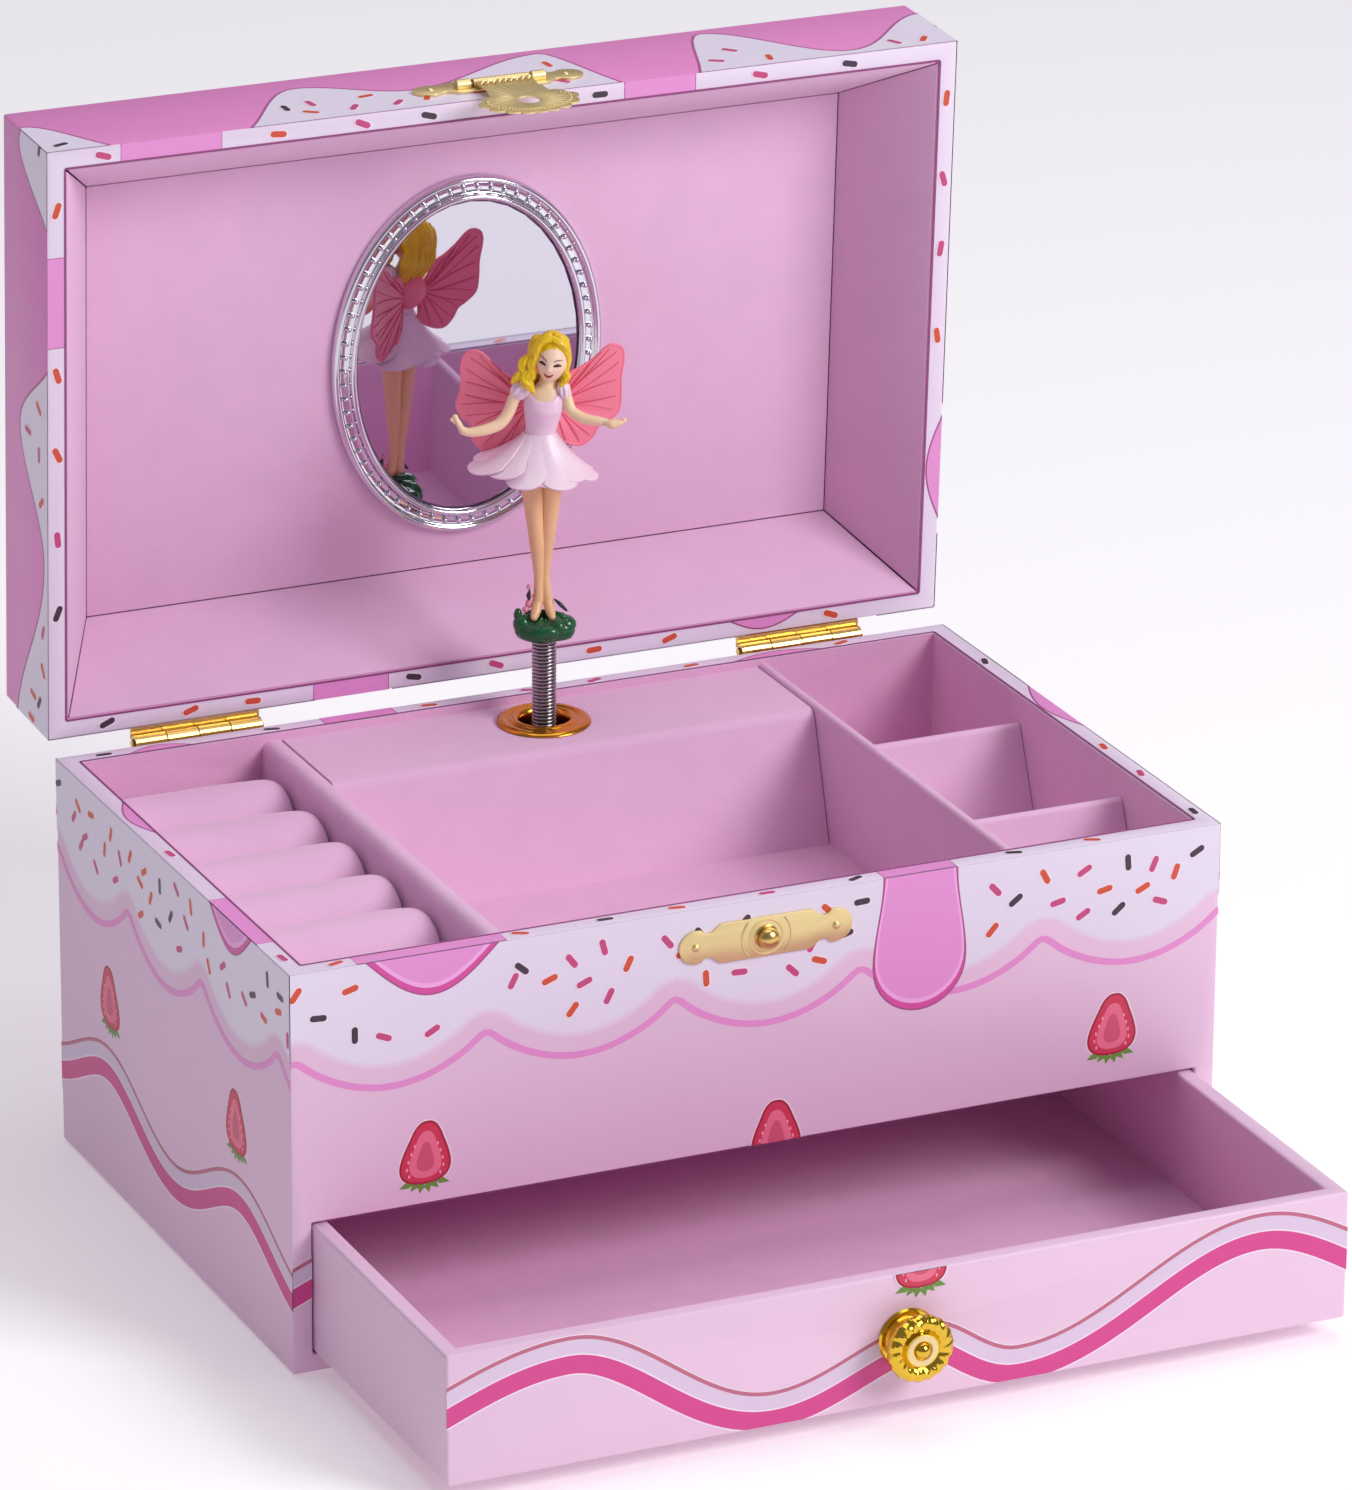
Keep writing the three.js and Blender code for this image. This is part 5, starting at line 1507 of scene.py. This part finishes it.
def make_arms():
    left = limb([(-5.6, -0.4, 62.8, 1.5), (-7.2, -0.8, 60.0, 1.5), (-8.6, -1.6, 56.6, 1.45),
                 (-10.8, -2.6, 54.2, 1.45),
                 (-14.2, -3.8, 53.2, 1.35), (-17.8, -4.6, 52.9, 1.1), (-19.5, -4.8, 53.7, 0.9)], 16)
    left_hand = limb([(-19.2, -4.8, 53.3, 0.95), (-20.1, -4.9, 55.0, 1.1), (-21.0, -4.8, 56.7, 0.75)],
                     12, 0.7)
    thumb = limb([(-20.2, -4.9, 55.0, 0.55), (-21.8, -5.1, 56.2, 0.45)], 10)
    right = limb([(4.8, -0.4, 62.4, 1.45), (5.5, -0.8, 59.8, 1.4), (6.6, -1.7, 57.4, 1.35),
                  (9.4, -2.8, 56.0, 1.35),
                  (12.6, -3.6, 55.6, 1.2), (14.6, -4.0, 55.5, 0.95)], 16)
    right_hand = limb([(14.4, -4.0, 55.5, 0.95), (16.2, -4.4, 55.2, 1.9), (18.0, -4.7, 55.6, 1.3),
                       (19.0, -4.8, 56.1, 0.7)], 14, 0.62)
    figure_part("dancer_arms", [left, left_hand, thumb, right, right_hand], skin, sharp=70)
    figure_part("dancer_sleeves", [frilled((-5.6, -0.5, 62.3), (2.1, 2.3, 2.9), math.radians(34)),
                                   frilled((4.7, -0.5, 62.3), (1.5, 2.1, 2.5), math.radians(-16))],
                                   petal_pink,
                sharp=60)


def face_shape():
    """The head: a rounded oval that narrows to the chin, with a small nose and full cheeks."""
    sides, rows = 40, 28
    vertices = []
    for i in range(rows + 1):
        theta = math.pi * i / rows
        z = 4.9 * math.cos(theta)
        narrow = 1 - 0.24 * max(0.0, -math.cos(theta)) ** 1.4
        for j in range(sides):
            angle = 2 * math.pi * j / sides
            x = 3.75 * math.sin(theta) * math.cos(angle) * narrow
            y = 3.95 * math.sin(theta) * math.sin(angle) * (0.55 + 0.45 * narrow)
            front = max(0.0, -math.sin(angle))
            nose = 0.75 * math.exp(-(x / 0.55) ** 2 - ((z + 0.75) / 0.75) ** 2)
            bridge = 0.25 * math.exp(-(x / 0.5) ** 2 - ((z - 0.3) / 1.0) ** 2)
            socket = 0.3 * math.exp(-((abs(x) - 1.55) / 0.8) ** 2 - ((z - 0.45) / 0.55) ** 2)
            lips = 0.22 * math.exp(-(x / 0.9) ** 2 - ((z + 2.3) / 0.4) ** 2)
            chin = 0.35 * math.exp(-(x / 1.1) ** 2 - ((z + 3.9) / 0.7) ** 2)
            vertices.append((x, y - front * (nose + bridge + lips + chin - socket), z))
    faces = grid_faces(rows + 1, sides, False, True)
    return vertices, faces


def on_face(x, z, proud=0.05):
    """A point on the front of the face."""
    inside = max(0.05, 1 - (x / 3.75) ** 2 - (z / 4.9) ** 2)
    socket = 0.3 * math.exp(-((abs(x) - 1.55) / 0.8) ** 2 - ((z - 0.45) / 0.55) ** 2)
    lips = 0.22 * math.exp(-(x / 0.9) ** 2 - ((z + 2.3) / 0.4) ** 2)
    narrow = 1 - 0.24 * max(0.0, -z / 4.9) ** 1.4
    return (x, -3.95 * math.sqrt(inside) * (0.55 + 0.45 * narrow) + socket - lips - proud, z)


def stroke(points, radii, proud=0.05):
    """A painted line on the face, wider where its radii are."""
    path = [on_face(x, z, proud) for x, z in smooth_path(points, 5)]
    widths = np.interp(np.linspace(0, 1, len(path)), np.linspace(0, 1, len(radii)), radii)
    return moved(tube(path, widths, 10), HEAD)


def make_head():
    head = moved(face_shape(), HEAD)
    figure_part("dancer_head", [head], face_skin, sharp=80)
    brows = [stroke([(-2.8, 2.1), (-1.9, 1.85), (-0.75, 1.15)], [0.05, 0.12, 0.06]),
             stroke([(2.8, 1.75), (1.9, 1.8), (0.95, 1.4)], [0.05, 0.11, 0.06])]
    figure_part("dancer_brows", brows, brow_brown)
    eyes = [stroke([(-2.6, 0.45), (-1.75, 0.52), (-0.8, 0.15)], [0.22, 0.5, 0.22], -0.14),
            stroke([(2.6, 0.45), (1.75, 0.5), (0.9, 0.15)], [0.22, 0.5, 0.22], -0.14)]
    figure_part("dancer_eyes", eyes, eye_brown)
    mouth = [stroke([(-1.1, -1.9), (-0.55, -2.35), (0.0, -2.5), (0.55, -2.35), (1.1, -1.85)],
                    [0.16, 0.34, 0.42, 0.34, 0.16], -0.14)]
    figure_part("dancer_mouth", mouth, lip_red)
    cheek = ball(on_face(-3.0, -1.6, -0.5), 1.1, 16, 10, (0.8, 0.8, 1.3))
    figure_part("dancer_blush", [moved(cheek, HEAD)], blush, sharp=80)


def lock(points, twist, sides=14):
    """A thick wavy lock with grooves along it."""
    path = smooth_path(points, 7)
    shape = tube([p[:3] for p in path], [p[3] for p in path], sides * 2)
    vertices, count = [], sides * 2
    centres = [Vector(p[:3]) for p in path]
    for k, vertex in enumerate(shape[0]):
        i, j = divmod(k, count)
        if i >= len(centres):
            vertices.append(vertex)
            continue
        ripple = 1 + 0.13 * math.cos(5 * 2 * math.pi * j / count + twist * i) + 0.07 * math.sin(0.55 * i)
        vertices.append(tuple(centres[i] + (Vector(vertex) - centres[i]) * ripple))
    ends = [ball(path[0][:3], path[0][3] * 0.96, 14, 8), ball(path[-1][:3], path[-1][3] * 0.96, 14, 8)]
    return merged([(vertices, shape[1]), *ends])


def hair_cap():
    sides, rows = 60, 26
    vertices = []
    for i in range(rows + 1):
        theta = math.pi * (0.01 + 0.72 * i / rows)
        for j in range(sides):
            angle = 2 * math.pi * j / sides
            groove = 1 + 0.03 * math.cos(13 * angle + 5 * theta + math.sin(6 * theta)) * math.sin(theta)
            vertices.append((1.9 + 4.25 * groove * math.sin(theta) * math.cos(angle),
                             1.75 + 4.85 * groove * math.sin(theta) * math.sin(angle),
                             70.7 + 5.6 * math.cos(theta)))
    faces = grid_faces(rows + 1, sides, False, True)
    faces += [tuple(range(sides - 1, -1, -1)), tuple(range(len(vertices) - sides, len(vertices)))]
    return vertices, faces


def make_hair():
    """Wavy yellow hair, parted near her left and swept over her right shoulder."""
    locks = [
        lock([(2.4, -1.6, 75.4, 0.7), (-0.1, -1.9, 74.8, 0.9), (-1.7, -1.7, 73.0, 1.0),
              (-2.0, -1.9, 70.8, 0.8),
              (-3.0, -1.6, 69.0, 1.1), (-3.2, -1.8, 67.2, 1.0), (-4.6, -2.2, 65.6, 1.2),
              (-3.8, -2.7, 64.2, 1.1),
              (-2.6, -3.2, 62.8, 0.6)], 0.5),
        lock([(1.2, -1.0, 75.8, 0.9), (-1.1, -1.0, 74.2, 1.1), (-2.1, -0.6, 72.0, 1.1),
              (-3.4, -0.5, 70.2, 1.2),
              (-5.0, -0.8, 68.6, 1.3), (-4.9, -1.0, 66.8, 1.3), (-6.4, -1.4, 65.6, 1.0),
              (-7.5, -1.8, 64.6, 0.5)],
             0.7),
        lock([(2.2, -1.9, 75.3, 0.7), (4.3, -1.7, 74.0, 1.0), (5.4, -1.0, 71.8, 0.9),
              (5.5, -0.8, 69.4, 0.9),
              (5.0, -1.2, 67.2, 0.9), (5.4, -1.4, 65.8, 0.9), (4.7, -1.7, 64.6, 0.7),
              (4.0, -2.0, 63.8, 0.4)],
             0.5),
        lock([(2.8, 0, 75.6, 0.9), (4.7, 0.2, 73.6, 1.2), (5.3, 0.4, 70.6, 1.1), (5.0, 0.2, 67.4, 1.1),
              (4.7, 0, 65.0, 0.9), (4.2, -0.2, 63.4, 0.5)], 0.6),
        lock([(-1.8, -1.6, 71.2, 0.8), (-2.6, -1.9, 68.8, 0.8), (-2.8, -2.1, 66.6, 0.9),
              (-3.4, -2.5, 64.8, 0.9),
              (-2.6, -3.0, 63.0, 0.5)], 0.8)]
    back = [lock([(x, 3.2, 73.2, 1.8), (x * 1.1 - 0.3, 4.3, 69.5, 2.0), (x * 1.15 - 0.8, 4.1, 65.8, 1.9),
                  (x * 1.1 - 1.2, 3.4, 62.6, 1.3), (x - 1.4, 2.9, 60.6, 0.6)], 0.5)
                  for x in (-1.6, 0.6, 2.7, 4.1)]
    figure_part("dancer_hair", [hair_cap(), *locks, *back], hair_yellow, sharp=80)


WING_LEFT = [(-5.6, 62.2), (-8.8, 63.6), (-11.6, 65.2), (-13.8, 67.9), (-16.2, 69.2), (-18.7, 68.2),
             (-19.8, 65.3),
             (-19.7, 61.4), (-20.1, 58.2), (-21.0, 55.2), (-20.0, 52.6), (-17.4, 50.2), (-17.4, 47.6),
             (-15.4, 45.0), (-12.1, 44.2), (-8.9, 45.8), (-5.4, 48.4), (-4.0, 51.6)]
WING_RIGHT = [(5.0, 63.2), (8.8, 65.9), (11.8, 67.9), (14.3, 70.2), (16.3, 71.0), (18.3, 69.9),
              (18.8, 67.3),
              (18.1, 62.4), (18.1, 58.4), (17.6, 54.4), (15.2, 52.2), (12.8, 50.8), (11.4, 48.4),
              (8.8, 46.5),
              (5.2, 47.4), (2.6, 49.6), (2.6, 52.0)]


def wing_depth(x, root_x):
    """How far behind her a wing lies, from its root out."""
    spread = abs(x - root_x)
    return WING_BACK - 2.4 * math.exp(-spread / 2.5) + 0.012 * spread ** 2


def wing_shapes(outline, root):
    """One side's pair of wings: a ridged plate, a raised rim and veins that fan out from the root."""
    edge = smooth_path(outline, 4, True)
    count, rings = len(edge), 12
    front, back = [], []
    for i, (x, z) in enumerate(edge):
        for j in range(rings + 1):
            t = j / rings
            px, pz = root[0] + (x - root[0]) * t, root[1] + (z - root[1]) * t
            depth = wing_depth(px, root[0])
            thick = 0.42 - 0.14 * t
            ridge = 0.1 * math.cos(count / 5 * 2 * math.pi * i / count) * math.sin(math.pi * t)
            front.append((px, depth - thick - ridge, pz))
            back.append((px, depth + thick + ridge, pz))
    total = count * (rings + 1)
    faces = grid_faces(count, rings + 1, True, False)
    faces += [tuple(total + k for k in face[::-1]) for face in faces]
    for i in range(count):
        k = (i + 1) % count
        a, b = i * (rings + 1) + rings, k * (rings + 1) + rings
        faces.append((a, b, total + b, total + a))
    rim = [(x, wing_depth(x, root[0]), z) for x, z in edge]
    rim_shape = tube([*rim, rim[0]], [0.38] * (count + 1), 8)
    veins = []
    for k in range(1, len(outline) - 1):
        x, z = outline[k]
        path = []
        for t in np.linspace(0.12, 0.93, 9):
            px = root[0] + (x - root[0]) * t
            pz = root[1] + (z - root[1]) * t + 0.7 * math.sin(math.pi * t) * (1 if k % 2 else -0.6)
            path.append((px, wing_depth(px, root[0]), pz))
        for side in (-1, 1):
            lifted = [(a, b + side * 0.42, c) for a, b, c in path]
            veins.append(tube(lifted, np.linspace(0.15, 0.08, 9), 6))
    return [(front + back, faces), rim_shape], veins


def make_wings():
    plates, veins = [], []
    for outline, root in ((WING_LEFT, (-3.6, 57.0)), (WING_RIGHT, (2.6, 57.0))):
        plate, some_veins = wing_shapes(outline, root)
        plates += plate
        veins += some_veins
    boss = ball((-0.4, WING_BACK - 2.2, 57.5), 2.6, 16, 10, (1.9, 0.9, 1.6))
    figure_part("dancer_wing_plates", [*plates, boss], wing_coral, "wing_plastic", 50, ("dancer_wings",))
    figure_part("dancer_wing_veins", veins, wing_vein, "wing_plastic")


def make_dancer():
    make_base()
    make_legs()
    make_skirt()
    make_torso()
    make_arms()
    make_head()
    make_hair()
    make_wings()


# ------------------------------------------------------------------ assembly

make_camera()
make_studio()
make_case()
make_lid_shell()
make_drawer()
make_lid_lining()
make_dividers()
make_platform()
for number in range(1, 7):
    make_ring_roll(number)
make_mirror()
make_hinges()
make_catch()
make_hasp()
make_knob()
make_grommet()
make_spring()
paint_movement()
print_case()
print_lid()
make_dancer()
